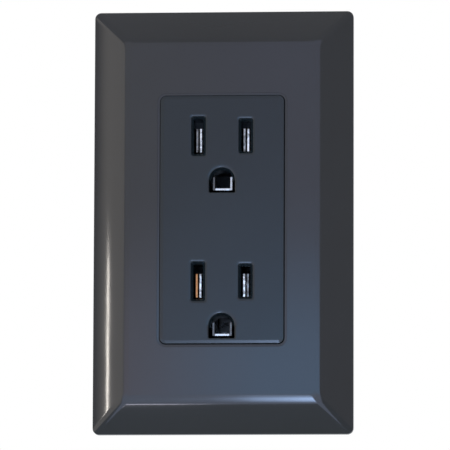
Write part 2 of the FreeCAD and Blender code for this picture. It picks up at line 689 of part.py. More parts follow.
def screw_retainer(z):
    """Fibre washer that keeps a box screw in its slot."""
    y_range = (RETAINER_STAND_OFF, RETAINER_STAND_OFF + RETAINER_THICKNESS)
    washer = slab(RETAINER_SIZE, RETAINER_SIZE, STRAP_CORNER_RADIUS, y_range, 0.0, z)
    radius = BOX_SCREW_NECK_RADIUS + THREAD_CLEARANCE
    return washer.cut(rod(radius, Vector(0, -BEYOND, z), Vector(0, BEYOND, z)))


def side_screw(seat_x, outward, y, z, shank):
    """Binding-head screw that stands out sideways."""
    seat = Vector(seat_x, y, z)
    front = Vector(seat_x + outward * TERMINAL_HEAD_HEIGHT, y, z)
    tip = Vector(seat_x - outward * shank, y, z)
    screw = join([rod(TERMINAL_HEAD_RADIUS, seat, front), rod(TERMINAL_SCREW_RADIUS, tip, seat)])
    return screw.cut(drive_slot(front.x, seat.x, TERMINAL_HEAD_RADIUS, True, front))


def side_clamp(inner_x, outward, y, z, width, height):
    """Pressure plate that traps the wires under a screw's head."""
    x_range = (inner_x, inner_x + outward * CLAMP_THICKNESS)
    plate = box(x_range, (y - width / 2, y + width / 2), (z - height / 2, z + height / 2))
    start = Vector(inner_x - outward * BEYOND, y, z)
    end = Vector(inner_x + outward * BEYOND, y, z)
    return plate.cut(rod(TERMINAL_SCREW_RADIUS + CLAMP_HOLE_CLEARANCE, start, end))


def terminal_parts():
    """The four wire terminals: hot on the right, neutral on the left."""
    parts = {}
    clamp_x = SIDE_X + CLAMP_REST_GAP
    seat_x = clamp_x + CLAMP_THICKNESS + HEAD_REST_GAP
    for name, side in (("hot", 1), ("neutral", -1)):
        for level, z in (("upper", TERMINAL_OFFSET), ("lower", -TERMINAL_OFFSET)):
            clamp = side_clamp(side * clamp_x, side, TERMINAL_Y, z, CLAMP_WIDTH, CLAMP_HEIGHT)
            screw = side_screw(side * seat_x, side, TERMINAL_Y, z, TERMINAL_SHANK)
            parts[f"{name}_clamp_{level}"] = clamp
            parts[f"{name}_screw_{level}"] = screw
    return parts


def ground_terminal_parts():
    """Screw and pressure plate on the strap's lug."""
    y, z = GROUND_TERMINAL_Y, GROUND_TERMINAL_Z
    clamp_x = LUG_X - CLAMP_REST_GAP
    seat_x = clamp_x - CLAMP_THICKNESS - HEAD_REST_GAP
    return {
        "ground_clamp": side_clamp(clamp_x, -1, y, z, GROUND_CLAMP_WIDTH, GROUND_CLAMP_HEIGHT),
        "ground_screw": side_screw(seat_x, -1, y, z, GROUND_SHANK),
    }


def all_parts():
    parts = {
        "wall_plate": wall_plate(),
        "plate_frame": plate_frame(),
        "plate_frame_screws": plate_frame_screws(),
        "face_cover": face_cover(),
        "back_body": back_body(),
        "mounting_strap": mounting_strap(),
        "hot_strip": blade_strip(1),
        "neutral_strip": blade_strip(-1),
        "ground_strip": ground_strip(),
        "ground_rivets": ground_rivets(),
        "housing_screws": housing_screws(),
        "box_screw_upper": box_screw(BOX_SCREW_OFFSET),
        "box_screw_lower": box_screw(-BOX_SCREW_OFFSET),
        "screw_retainer_upper": screw_retainer(BOX_SCREW_OFFSET),
        "screw_retainer_lower": screw_retainer(-BOX_SCREW_OFFSET),
    }
    parts.update(terminal_parts())
    parts.update(ground_terminal_parts())
    return parts


os.makedirs("parts", exist_ok=True)
for node, shape in all_parts().items():
    shape.exportStep(f"parts/{node}.step")
    solids = len(shape.Solids)
    print(f"{node}: {solids} solid(s), valid {shape.isValid()}, {shape.Volume / 1000:.2f} cm3")
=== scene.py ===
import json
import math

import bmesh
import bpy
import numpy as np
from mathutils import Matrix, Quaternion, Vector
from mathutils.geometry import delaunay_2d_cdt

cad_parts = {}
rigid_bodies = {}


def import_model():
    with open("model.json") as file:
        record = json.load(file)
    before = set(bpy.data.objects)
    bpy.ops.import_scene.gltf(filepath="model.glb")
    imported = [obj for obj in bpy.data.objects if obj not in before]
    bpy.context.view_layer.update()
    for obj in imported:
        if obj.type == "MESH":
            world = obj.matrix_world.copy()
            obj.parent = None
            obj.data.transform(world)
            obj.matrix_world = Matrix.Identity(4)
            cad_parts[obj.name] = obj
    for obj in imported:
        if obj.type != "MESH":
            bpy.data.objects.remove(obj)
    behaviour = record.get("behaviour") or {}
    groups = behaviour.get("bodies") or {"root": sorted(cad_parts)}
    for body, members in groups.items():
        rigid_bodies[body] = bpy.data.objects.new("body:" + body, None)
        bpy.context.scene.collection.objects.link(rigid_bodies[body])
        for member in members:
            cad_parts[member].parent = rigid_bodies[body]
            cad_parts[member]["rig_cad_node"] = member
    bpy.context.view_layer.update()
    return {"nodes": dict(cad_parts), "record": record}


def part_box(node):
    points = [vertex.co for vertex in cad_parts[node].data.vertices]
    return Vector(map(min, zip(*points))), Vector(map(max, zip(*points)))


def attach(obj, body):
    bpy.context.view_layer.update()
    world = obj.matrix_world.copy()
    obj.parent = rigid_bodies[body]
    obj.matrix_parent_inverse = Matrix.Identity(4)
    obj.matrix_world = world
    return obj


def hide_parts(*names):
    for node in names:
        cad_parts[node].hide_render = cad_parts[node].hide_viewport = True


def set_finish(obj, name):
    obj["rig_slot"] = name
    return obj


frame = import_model()

# %% [markdown]
# # A duplex wall outlet, piece by piece
# The imported model already holds every part at its true size. This lesson gives it its looks.
# The wall plate and the face are what people see, so they are made again as smooth, finely
# rounded mouldings. The steel, brass and screws behind them keep their shapes, with their sharp
# edges eased, and the screws get real threads.
#
# First come the tools that everything else needs.

MM = 0.001

# %% [markdown]
# ## Rings, bands and fills
# A moulding with a rectangular plan is one profile carried round a rounded rectangle. Every
# station of the profile gives a ring with the same number of points, and neighbouring rings are
# joined by four-sided faces. Rings keep the corners of the plan in line, which a free-form sweep
# wouldn't, and one pair of helpers serves the plate, the face and every hole in it.

# %% Rounded rectangles as rings
ARC_STEPS = 10    # faces round a quarter circle
SIDE_STEPS = 8    # faces along a straight side
END_STEP = 0.003  # share of a side taken by the short step at either end


def rounded_ring(half_width, half_height, radius, centre=(0.0, 0.0)):
    """Closed ring, counter-clockwise as seen from the room: each corner is a quarter circle
    centre + radius * (cos a, sin a), and each side is split evenly between two corners, with a
    short step at either end that keeps the corner's shading off the side."""
    quarter = np.linspace(0.0, np.pi / 2, ARC_STEPS + 1)
    points = []
    for turn, (sx, sz) in enumerate([(1, 1), (-1, 1), (-1, -1), (1, -1)]):
        angle = quarter + turn * np.pi / 2
        corner = np.array([sx * (half_width - radius), sz * (half_height - radius)])
        points.append(corner + radius * np.c_[np.cos(angle), np.sin(angle)])
    even = np.linspace(0.0, 1.0, SIDE_STEPS - 1)[1:-1]
    share = np.concatenate([[END_STEP], even, [1.0 - END_STEP]])[:, None]
    pieces = []
    for index, arc in enumerate(points):
        following = points[(index + 1) % 4][0]
        pieces += [arc, arc[-1] + (following - arc[-1]) * share]
    return np.concatenate(pieces) + np.array(centre)


def stack(rings, depths):
    """Lay flat rings at their depths: point (x, z) of ring i becomes (x, depth i, z)."""
    flat = np.stack(rings)
    y = np.broadcast_to(np.asarray(depths)[:, None], flat.shape[:2])
    return np.stack([flat[..., 0], y, flat[..., 1]], axis=-1)


def band_faces(count, size, first=0, closed=False):
    """Four-sided faces between neighbouring rings of one size, as rows of four point numbers."""
    rows = np.arange(count if closed else count - 1)[:, None]
    cols = np.arange(size)[None, :]
    after_row, after_col = (rows + 1) % count, (cols + 1) % size
    quads = np.stack(
        [
            rows * size + cols,
            rows * size + after_col,
            after_row * size + after_col,
            after_row * size + cols,
        ],
        axis=-1,
    )
    return quads.reshape(-1, 4) + first


# %% [markdown]
# A profile is easiest to write as a few corners with a radius for each. Real mouldings have no
# truly sharp corner, and a highlight shows it. A point just before and after each arc keeps the
# flat stretches flat, because shading is blended between neighbouring rings.

# %% Profiles with rounded corners
def soft_profile(points, radii, steps=5, lead=0.0):
    """Round a polyline's corners: each is replaced by the arc that touches both its lines, with
    an extra point at distance lead before and after it, which keeps flat faces flat."""
    path = [np.array(points[0], float)]
    for index in range(1, len(points) - 1):
        before, corner, after = (np.array(points[index + i], float) for i in (-1, 0, 1))
        back = (before - corner) / np.linalg.norm(before - corner)
        ahead = (after - corner) / np.linalg.norm(after - corner)
        half = math.acos(np.clip(back @ ahead, -1.0, 1.0)) / 2
        radius = radii[index]
        if radius <= 0:
            path.append(corner)
            continue
        reach = radius / math.tan(half)
        bisector = (back + ahead) / np.linalg.norm(back + ahead)
        centre = corner + bisector * radius / math.sin(half)
        start, end = corner + back * reach - centre, corner + ahead * reach - centre
        sweep = math.pi - 2 * half
        share = np.linspace(0.0, 1.0, steps + 1)[:, None]
        arc = (np.sin((1 - share) * sweep) * start + np.sin(share * sweep) * end) / math.sin(sweep)
        if lead > 0:
            path.append(corner + back * (reach + lead))
        path += list(centre + arc)
        if lead > 0:
            path.append(corner + ahead * (reach + lead))
    path.append(np.array(points[-1], float))
    return np.array(path)


# %% [markdown]
# Rings, bands and fills are plain arrays, and a mesh is made from them in one place. Points that
# coincide are merged first, so that neighbouring parts share their edges. Then the normals are
# worked out again so that every face looks outwards: a wall that faces inwards is lit from its
# wrong side. Corners stay sharp only where a limit in degrees asks for it.

# %% Turning arrays into a mesh object
MERGE_DISTANCE = 1e-7  # metres
SHARP_DEGREES = 50     # corners of a moulding sharper than this stay sharp


def mesh_object(name, points, face_sets, sharp_degrees=None):
    """New object at the origin from points and arrays of faces, merged where two points are
    closer than MERGE_DISTANCE, smooth except at edges past sharp_degrees."""
    mesh = bpy.data.meshes.new(name)
    faces = [row for part in face_sets for row in np.asarray(part).tolist()]
    mesh.from_pydata(points.tolist(), [], faces)
    work = bmesh.new()
    work.from_mesh(mesh)
    bmesh.ops.remove_doubles(work, verts=work.verts, dist=MERGE_DISTANCE)
    bmesh.ops.recalc_face_normals(work, faces=work.faces)
    work.to_mesh(mesh)
    work.free()
    mesh.polygons.foreach_set("use_smooth", np.ones(len(mesh.polygons), bool))
    if sharp_degrees is not None:
        mesh.set_sharp_from_angle(angle=math.radians(sharp_degrees))
    piece = bpy.data.objects.new(name, mesh)
    bpy.context.scene.collection.objects.link(piece)
    return piece


def stand_for(piece, node, body, slot):
    """Put the piece in the place of the CAD node, on its body, with its material slot."""
    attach(piece, body)
    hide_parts(node)
    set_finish(piece, slot)
    print(f"{piece.name}: {len(piece.data.vertices)} points for {node}")


# %% [markdown]
# ## The wall plate
# The real plate is one injection moulding: a thin rim on the wall, a sloping border that is
# slightly crowned, a soft ridge, a flat field and a window with rolled edges; behind it is a
# hollow with a collar round the window. A box with bevelled edges would give straight slopes and
# hard mitres. One closed profile carried round rings gives the crown, the ridge and the hollow
# in one watertight surface.

# %% Sizes of the wall plate
plate_low, plate_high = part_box("wall_plate")
PLATE_HALF_WIDTH = plate_high.x
PLATE_HALF_HEIGHT = plate_high.z
PLATE_FRONT = plate_low.y
RIM_DEPTH = 2.2 * MM
BEVEL_RUN = 8.75 * MM
BEVEL_CROWN = 0.24 * MM
RIDGE_RADIUS = 5.5 * MM
CORNER_RADIUS = 1.7 * MM
FIELD_CROWN = 0.10 * MM
PLATE_WALL = 1.7 * MM
WINDOW_HALF_WIDTH = 16.7 * MM
WINDOW_HALF_HEIGHT = 33.5 * MM
WINDOW_RADIUS = 1.65 * MM
COLLAR_WALL = 1.2 * MM
COLLAR_REAR = -3.5 * MM
FIELD_RINGS = 12
print("plate half sizes", PLATE_HALF_WIDTH, PLATE_HALF_HEIGHT, "front at", PLATE_FRONT)


def crowned_slope():
    """Section of the border from the wall to the flat field, as (inset, depth): a straight line
    plus a parabola, crown * 4 t (1 - t), pushed out square to the line."""
    foot = np.array([0.0, -RIM_DEPTH])
    head = np.array([BEVEL_RUN, PLATE_FRONT])
    along = head - foot
    outward = np.array([along[1], -along[0]]) / np.linalg.norm(along)
    t = np.append(np.linspace(0.0, 0.8, 12), 1.0)[:, None]
    return foot + along * t + outward * BEVEL_CROWN * 4 * t * (1 - t)


def border_section():
    """Rim, slope and ridge as (inset, depth), with the rim and the ridge rounded."""
    slope = crowned_slope()
    points = [(0.3 * MM, 0.0), (0.0, 0.0)] + [tuple(p) for p in slope]
    points += [(BEVEL_RUN + 3 * MM, PLATE_FRONT)]
    radii = [0.0, 0.15 * MM, 0.55 * MM] + [0.0] * (len(slope) - 2) + [RIDGE_RADIUS, 0.0]
    return soft_profile(points, radii, steps=8, lead=0.04 * MM)


def window_section():
    """Window edge and collar as (outset from the window, depth)."""
    ceiling = PLATE_FRONT + PLATE_WALL
    points = [
        (2.0 * MM, PLATE_FRONT),
        (0.75 * MM, PLATE_FRONT),
        (0.08 * MM, PLATE_FRONT + 0.03 * MM),
        (0.0, PLATE_FRONT + 0.15 * MM),
        (0.0, COLLAR_REAR),
        (COLLAR_WALL, COLLAR_REAR),
        (COLLAR_WALL, ceiling),
        (COLLAR_WALL + 2 * MM, ceiling),
    ]
    radii = [0.0, 4.0 * MM, 0.1 * MM, 0.1 * MM, 0.15 * MM, 0.15 * MM, 0.2 * MM, 0.0]
    return soft_profile(points, radii, steps=6, lead=0.02 * MM)


# %% [markdown]
# The moulding has one wall thickness nearly everywhere, so that it cools evenly. The inside of the
# slope is therefore worked out from the outside: the same slope, moved in by the wall.

# %% The hollow behind the slope
def hollow_section():
    """Inside of the slope and rim as (inset, depth), one wall inside the outer slope."""
    slope = math.atan2(-PLATE_FRONT - RIM_DEPTH, BEVEL_RUN)
    ceiling = PLATE_FRONT + PLATE_WALL
    rim = -(RIM_DEPTH + PLATE_WALL * (math.tan(slope) - 1 / math.cos(slope)))
    run = PLATE_WALL + (rim - ceiling) / math.tan(slope)
    points = [
        (run + 2 * MM, ceiling),
        (run, ceiling),
        (PLATE_WALL, rim),
        (PLATE_WALL, 0.0),
        (0.35 * MM, 0.0),
    ]
    radii = [0.0, 0.5 * MM, 0.4 * MM, 0.12 * MM, 0.0]
    return soft_profile(points, radii, steps=4, lead=0.03 * MM)


# %% [markdown]
# The sections meet end to end: border, field, window, collar, hollow and back to the border. Put
# round the plate ring by ring they close into a shell like the real one, with a wall of even
# thickness. Last, the flat field is lifted by a tenth of a millimetre in its middle, because a
# moulded plate is never quite flat and its reflections show it.

# %% Carry the closed profile round the plate
def plate_surface():
    """Closed surface: border rings, the field shared out between ridge and window, the window and
    its collar, then the hollow. A ring of inset d has half-sizes W - d and H - d."""
    rings, depths = [], []
    for inset, depth in border_section():
        size = (PLATE_HALF_WIDTH - inset, PLATE_HALF_HEIGHT - inset)
        rings.append(rounded_ring(*size, CORNER_RADIUS))
        depths.append(depth)
    window = window_section()
    outermost = window[0][0]
    inner = rounded_ring(
        WINDOW_HALF_WIDTH + outermost, WINDOW_HALF_HEIGHT + outermost, WINDOW_RADIUS + outermost
    )
    outer = rings[-1]
    for share in np.linspace(0.0, 1.0, FIELD_RINGS + 1)[1:-1]:
        rings.append(outer + (inner - outer) * share)
        depths.append(PLATE_FRONT)
    for outset, depth in window:
        size = (WINDOW_HALF_WIDTH + outset, WINDOW_HALF_HEIGHT + outset)
        rings.append(rounded_ring(*size, WINDOW_RADIUS + outset))
        depths.append(depth)
    for inset, depth in hollow_section():
        size = (PLATE_HALF_WIDTH - inset, PLATE_HALF_HEIGHT - inset)
        rings.append(rounded_ring(*size, 0.5 * MM))
        depths.append(depth)
    points = stack(rings, depths)
    field = np.isclose(points[..., 1], PLATE_FRONT, atol=0.002 * MM)
    across = 1 - (points[..., 0] / PLATE_HALF_WIDTH) ** 2
    upward = 1 - (points[..., 2] / PLATE_HALF_HEIGHT) ** 2
    points[..., 1] -= np.where(field, FIELD_CROWN * across * upward, 0.0)
    return points


# %% [markdown]
# Four tongues behind the plate snap into the frame on the strap. They are small blocks with
# rounded tips, and the same rings make them, closed by a flat cap at either end.

# %% Snap tongues, and the plate as one mesh
TONGUE_WIDTH, TONGUE_HEIGHT = 1.2 * MM, 7.0 * MM
TONGUE_CORNER = 0.3 * MM
TONGUE_X = PLATE_HALF_WIDTH - 5.05 * MM
TONGUE_Z = (35.0 * MM, -35.0 * MM)
TONGUE_DEPTHS = np.array([-4.5, -0.5, -0.38, -0.32, -0.3]) * MM
TONGUE_SHRINK = np.array([0.0, 0.0, 0.06, 0.16, 0.3]) * MM


def tongue(side, z):
    """Rings of one tongue from root to tip, each set in by its share of the shrink."""
    centre = (side * (TONGUE_X - TONGUE_WIDTH / 2), z)
    halves = [(TONGUE_WIDTH / 2 - s, TONGUE_HEIGHT / 2 - s) for s in TONGUE_SHRINK]
    return stack([rounded_ring(*half, TONGUE_CORNER, centre) for half in halves], TONGUE_DEPTHS)


plate_points = plate_surface()
rows, size = plate_points.shape[:2]
shell_points, shell_faces = [plate_points.reshape(-1, 3)], [band_faces(rows, size, closed=True)]
first = rows * size
for side in (1, -1):
    for z in TONGUE_Z:
        block = tongue(side, z)
        last = first + (len(block) - 1) * size
        shell_points.append(block.reshape(-1, 3))
        shell_faces.append(band_faces(len(block), size, first))
        shell_faces.append([np.arange(first, first + size)[::-1]])
        shell_faces.append([np.arange(last, last + size)])
        first = last + size
plate = mesh_object(
    "bevelled_wall_plate", np.concatenate(shell_points), shell_faces, SHARP_DEGREES
)
stand_for(plate, "wall_plate", "wall_plate", "plate_plastic")

# %% [markdown]
# ## The face
# The face is a block of plastic with seven outlines on its front: its own edge, four blade slots
# with chamfered mouths and two ground holes whose chamfer follows the arc only. Cutting the holes
# with booleans leaves thin slivers that catch the light badly. Here each hole is a small tunnel
# of rings, the edge is a band of rings, and one flat fill joins them all. Round every opening the
# front dips a little before the chamfer starts, as moulded plastic does.

# %% Sizes of the face
face_low, face_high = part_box("face_cover")
FACE_FRONT = face_low.y
FACE_HALF_WIDTH = 16.65 * MM
FACE_HALF_HEIGHT = 33.45 * MM
FACE_RADIUS = 1.6 * MM
FACE_INNER = FACE_FRONT + 2.2 * MM
EASE_RUN = 0.92 * MM
EASE_DROP = 0.15 * MM
SKIRT_FRONT = -1.1 * MM
SLOT_X = 6.35 * MM
SLOT_HALF_WIDTH = 1.3 * MM
SLOT_CORNER = 0.25 * MM
NEUTRAL_HALF_HEIGHT = 4.7 * MM
HOT_HALF_HEIGHT = 4.1 * MM
SLOT_CHAMFER = 0.68 * MM
LIP_RUN = 0.45 * MM
LIP_DROP = 0.085 * MM
MOUTH_DEPTH = 1.0 * MM
OUTLET_Z = (19.6 * MM, -19.6 * MM)
SLOT_RISE = 2.9 * MM
GROUND_DROP = 9.1 * MM
HOLE_RADIUS = 3.0 * MM
HOLE_CHAMFER = 0.5 * MM
HOLE_FOOT = 3.3 * MM
CHAMBER_HALF_WIDTH = 1.4 * MM
CHAMBER_MARGIN = 0.55 * MM

print("face front at", FACE_FRONT)

# %% [markdown]
# A slot is a funnel: a lip, a chamfer, a throat as wide as a blade, and a wider chamber where the
# contact stands. Rounded rings at each depth make it one smooth tunnel.

# %% One slot as a tunnel
def slot_tunnel(x, z, half_height):
    """Rings from the face's front to the rear of its chamber. Offset o from the throat gives
    half-sizes w + o and h + o."""
    points = [
        (SLOT_CHAMFER + 2 * LIP_RUN, FACE_FRONT),
        (SLOT_CHAMFER + LIP_RUN, FACE_FRONT),
        (SLOT_CHAMFER, FACE_FRONT + LIP_DROP),
        (0.0, FACE_FRONT + MOUTH_DEPTH),
        (0.0, FACE_INNER),
    ]
    section = soft_profile(points, [0.0, 0.5 * MM, 0.1 * MM, 0.2 * MM, 0.0], steps=4)
    rings = []
    for offset_out, _ in section:
        radius = SLOT_CORNER + 0.5 * offset_out
        size = (SLOT_HALF_WIDTH + offset_out, half_height + offset_out)
        rings.append(rounded_ring(*size, radius, (x, z)))
    chamber_half_height = NEUTRAL_HALF_HEIGHT + CHAMBER_MARGIN
    chamber = rounded_ring(CHAMBER_HALF_WIDTH, chamber_half_height, SLOT_CORNER, (x, z))
    depths = list(section[:, 1]) + [FACE_INNER, face_high.y]
    return stack(rings + [chamber, chamber], depths)


# %% [markdown]
# A ground hole's ring starts at the right end of its arc and runs counter-clockwise like the
# others. The chamfer belongs to the arc alone, so the ring steps out to the sides where it ends.

# %% One ground hole as a tunnel
def hole_ring(arc_radius, half_width, foot, z):
    """Half circle over a rectangle, with as many points as a rounded ring: the arc, a step out to
    each side, the sides and the foot."""
    total = 4 * (ARC_STEPS + 1) + 4 * (SIDE_STEPS - 1)
    arc_count, step_count, corner = 29, 4, 0.3 * MM
    angle = np.linspace(0.0, np.pi, arc_count)
    arc = arc_radius * np.c_[np.cos(angle), np.sin(angle)]
    step_end = np.array([-half_width, -0.06 * MM])
    step = arc[-1] + (step_end - arc[-1]) * np.linspace(0, 1, step_count + 1)[1:, None]
    turn = np.linspace(np.pi, 1.5 * np.pi, 6)
    left = np.array([-half_width + corner, -foot + corner])
    bend = left + corner * np.c_[np.cos(turn), np.sin(turn)]
    half = np.concatenate([step, bend])
    other = half[::-1] * np.array([-1, 1])
    across = total - arc_count - 2 * len(half)
    share = np.linspace(0, 1, across + 2)[1:-1, None]
    base = half[-1] + (other[0] - half[-1]) * share
    return np.concatenate([arc, half, base, other]) + np.array([0.0, z])


def ground_tunnel(z):
    """Rings of a ground hole: the arc closes in by the chamfer while the sides go straight in. A
    station is (outset of the arc, outset of sides and foot, depth behind the front)."""
    chamfer = HOLE_CHAMFER
    stations = [
        (chamfer + 2 * LIP_RUN, 0.45 * MM, 0.0),
        (chamfer + LIP_RUN, 0.3 * MM, 0.0),
        (chamfer + 0.3 * LIP_RUN, 0.1 * MM, 0.7 * LIP_DROP),
        (chamfer, 0.02 * MM, 1.1 * LIP_DROP),
        (chamfer - 0.04 * MM, 0.0, 2 * LIP_DROP),
        (0.07 * MM, 0.0, MOUTH_DEPTH - 0.12 * MM),
        (0.02 * MM, 0.0, MOUTH_DEPTH),
        (0.0, 0.0, MOUTH_DEPTH + 0.12 * MM),
        (0.0, 0.0, FACE_INNER - FACE_FRONT),
        (chamfer, 0.5 * MM, FACE_INNER - FACE_FRONT),
        (chamfer, 0.5 * MM, face_high.y - FACE_FRONT),
    ]
    wide = HOLE_RADIUS + HOLE_CHAMFER
    rings = [
        hole_ring(HOLE_RADIUS + arc, wide + out, HOLE_FOOT + min(out, 0.25 * MM), z)
        for arc, out, _ in stations
    ]
    return stack(rings, [FACE_FRONT + depth for _, _, depth in stations])


# %% [markdown]
# The face ends in a soft edge that falls away by a fraction of a millimetre, and a wider skirt
# behind it hides under the plate. Both are one band of rings round the block.

# %% The face's edge and skirt
SKIRT_CORNER = 2.0 * MM
SKIRT_STATIONS = ((-0.25, 0.0), (0.0, 0.25), (0.0, 4.1))  # outset and depth, in millimetres


def face_edge():
    """Rings from the face's front, round its edge, back to the skirt and out to its rear."""
    points = [
        (-1.12 * MM, FACE_FRONT),
        (-EASE_RUN, FACE_FRONT),
        (-0.12 * MM, FACE_FRONT + EASE_DROP),
        (0.0, FACE_FRONT + EASE_DROP + 0.2 * MM),
        (0.0, SKIRT_FRONT),
    ]
    radii = [0.0, 1.5 * MM, 0.15 * MM, 0.2 * MM, 0.0]
    nose = soft_profile(points, radii, steps=5, lead=0.02 * MM)
    rings = []
    for outset, _ in nose:
        size = (FACE_HALF_WIDTH + outset, FACE_HALF_HEIGHT + outset)
        rings.append(rounded_ring(*size, max(FACE_RADIUS + outset, 0.4 * MM)))
    depths = list(nose[:, 1])
    for outset, depth in SKIRT_STATIONS:
        size = (face_high.x + outset * MM, face_high.z + outset * MM)
        rings.append(rounded_ring(*size, SKIRT_CORNER))
        depths.append(SKIRT_FRONT + depth * MM)
    return stack(rings, depths)


# %% [markdown]
# What is left of the front and the rear is flat, with one outline and six holes. Delaunay
# triangulation fills it without adding points, and an even-odd test throws away the triangles
# that lie in the holes.

# %% Flat fills between outlines
def inside(points, loop):
    """Even-odd rule: a point is inside when a ray to its right crosses the loop an odd number of
    times."""
    a, b = loop, np.roll(loop, -1, axis=0)
    px, pz = points[:, 0, None], points[:, 1, None]
    crosses = (a[:, 1] > pz) != (b[:, 1] > pz)
    rise = np.where(b[:, 1] == a[:, 1], 1.0, b[:, 1] - a[:, 1])
    meet = a[:, 0] + (pz - a[:, 1]) / rise * (b[:, 0] - a[:, 0])
    return (crosses & (px < meet)).sum(axis=1) % 2 == 1


def flat_fill(outline, holes, depth):
    """Triangles of a flat face between an outline and its holes, all at one depth."""
    loops = [outline] + holes
    coords = np.concatenate(loops)
    edges, first = [], 0
    for loop in loops:
        index = np.arange(len(loop))
        edges += np.c_[first + index, first + (index + 1) % len(loop)].tolist()
        first += len(loop)
    found = delaunay_2d_cdt([Vector(p) for p in coords], edges, [], 0, 1e-9)
    flat = np.array([tuple(v) for v in found[0]])
    faces = np.array(found[2])
    middles = flat[faces].mean(axis=1)
    keep = inside(middles, outline)
    for hole in holes:
        keep &= ~inside(middles, hole)
    points = np.c_[flat[:, 0], np.full(len(flat), depth), flat[:, 1]]
    return points, faces[keep]


def assemble(bands, fills):
    """Put bands of rings and flat fills into one list of points and faces."""
    points, faces, first = [], [], 0
    for band in bands:
        faces.append(band_faces(band.shape[0], band.shape[1], first))
        points.append(band.reshape(-1, 3))
        first += points[-1].shape[0]
    for fill_points, fill_faces in fills:
        faces.append(fill_faces + first)
        points.append(fill_points)
        first += len(fill_points)
    return np.concatenate(points), faces


# %% [markdown]
# Two outlets stand one above the other, each with a long neutral slot on the left, a shorter hot
# slot on the right and a ground hole below. Edge, tunnels and fills share their points where they
# meet, so merging them closes the block.

# %% The face as one mesh
tunnels = []
for z in OUTLET_Z:
    tunnels.append(slot_tunnel(-SLOT_X, z + SLOT_RISE, NEUTRAL_HALF_HEIGHT))
    tunnels.append(slot_tunnel(SLOT_X, z + SLOT_RISE, HOT_HALF_HEIGHT))
    tunnels.append(ground_tunnel(z - GROUND_DROP))
edge = face_edge()
fills = [
    flat_fill(edge[end][:, [0, 2]], [tunnel[end][:, [0, 2]] for tunnel in tunnels], depth)
    for end, depth in ((0, FACE_FRONT), (-1, face_high.y))
]
face = mesh_object("slotted_face", *assemble([edge] + tunnels, fills), SHARP_DEGREES)
stand_for(face, "face_cover", "housing", "face_plastic")

# %% [markdown]
# ## Parts with eased edges
# The body, strap, frame and contacts are pressed or moulded shapes whose CAD form is right, apart
# from edges that are sharper than any real ones. Each gets a copy with its loose triangles merged
# and a narrow bevel cut into the mesh, so that its edges catch the light as worked metal and
# moulded plastic do. A bevel modifier would do the same, but the normals have to be set after it:
# they are weighted by area, which keeps large flat faces flat right up to their rounded edges.

# %% Normals weighted by area
SPLIT_DEGREES = 30       # edges sharper than this are eased
FLAT_DEGREES = 0.5       # triangles closer than this are one flat face
CAD_MERGE = 2e-6         # metres, for the loose triangles of a CAD mesh
BEVEL_STEPS = 3


def weigh_normals(mesh):
    """Give every face corner the area-weighted mean normal of the faces round its vertex that lie
    within the split limit of its own face, so a large flat face stays flat."""
    at_vertex = [[] for _ in mesh.vertices]
    for face in mesh.polygons:
        for vertex in face.vertices:
            at_vertex[vertex].append((face.normal.copy(), face.area))
    limit = math.cos(math.radians(SPLIT_DEGREES))
    normals = []
    for face in mesh.polygons:
        for vertex in face.vertices:
            near = [n * area for n, area in at_vertex[vertex] if n.dot(face.normal) > limit]
            normals.append(sum(near, Vector()).normalized())
    mesh.normals_split_custom_set(normals)


# %% [markdown]
# The loose triangles of a CAD mesh share no points, so they are merged first, and the triangles of
# one flat face are joined, or their borders would count as edges.

# %% One eased copy
def eased_copy(node, name, body, slot, width):
    """Copy of a CAD node: loose triangles merged, flat areas joined, and edges sharper than the
    limit given a rounded bevel of the stated width."""
    mesh = frame["nodes"][node].data.copy()
    mesh.name = name
    mesh.materials.clear()
    work = bmesh.new()
    work.from_mesh(mesh)
    bmesh.ops.remove_doubles(work, verts=work.verts, dist=CAD_MERGE)
    flat_limit = math.radians(FLAT_DEGREES)
    bmesh.ops.dissolve_limit(work, angle_limit=flat_limit, verts=work.verts, edges=work.edges)
    limit = math.radians(SPLIT_DEGREES)
    edges = [e for e in work.edges if e.is_manifold and e.calc_face_angle() > limit]
    bmesh.ops.bevel(
        work, geom=edges, offset=width, offset_type="OFFSET", segments=BEVEL_STEPS,
        profile=0.5, affect="EDGES", clamp_overlap=True,
    )
    work.to_mesh(mesh)
    work.free()
    mesh.polygons.foreach_set("use_smooth", np.ones(len(mesh.polygons), bool))
    weigh_normals(mesh)
    piece = bpy.data.objects.new(name, mesh)
    bpy.context.scene.collection.objects.link(piece)
    stand_for(piece, node, body, slot)


# %% [markdown]
# Thin sheet gets a fine edge and thick moulded plastic a wider one. The widths are in millimetres
# and stay below a third of each piece's thickness.

# %% Ease the fixed pieces, washers and pressure plates
for node, name, slot, width in (
    ("back_body", "moulded_back_body", "body_plastic", 0.25),
    ("mounting_strap", "wraparound_strap", "zinc_steel", 0.12),
    ("plate_frame", "snap_frame", "frame_plastic", 0.15),
    ("hot_strip", "hot_contact_strip", "brass", 0.06),
    ("neutral_strip", "neutral_contact_strip", "brass", 0.06),
    ("ground_strip", "ground_contact_strip", "nickel", 0.08),
    ("ground_rivets", "tubular_rivets", "screw_steel", 0.12),
    ("housing_screws", "housing_assembly_screws", "screw_steel", 0.12),
    ("plate_frame_screws", "frame_fixing_screws", "dark_screw", 0.1),
):
    eased_copy(node, name, "housing", slot, width * MM)
for level in ("upper", "lower"):
    node = f"screw_retainer_{level}"
    eased_copy(node, f"fibre_washer_{level}", node, "fibre", 0.08 * MM)
    for pole, slot in (("hot", "brass"), ("neutral", "nickel")):
        node = f"{pole}_clamp_{level}"
        eased_copy(node, f"{pole}_pressure_plate_{level}", node, slot, 0.12 * MM)
eased_copy("ground_clamp", "ground_pressure_plate", "ground_clamp", "zinc_steel", 0.12 * MM)

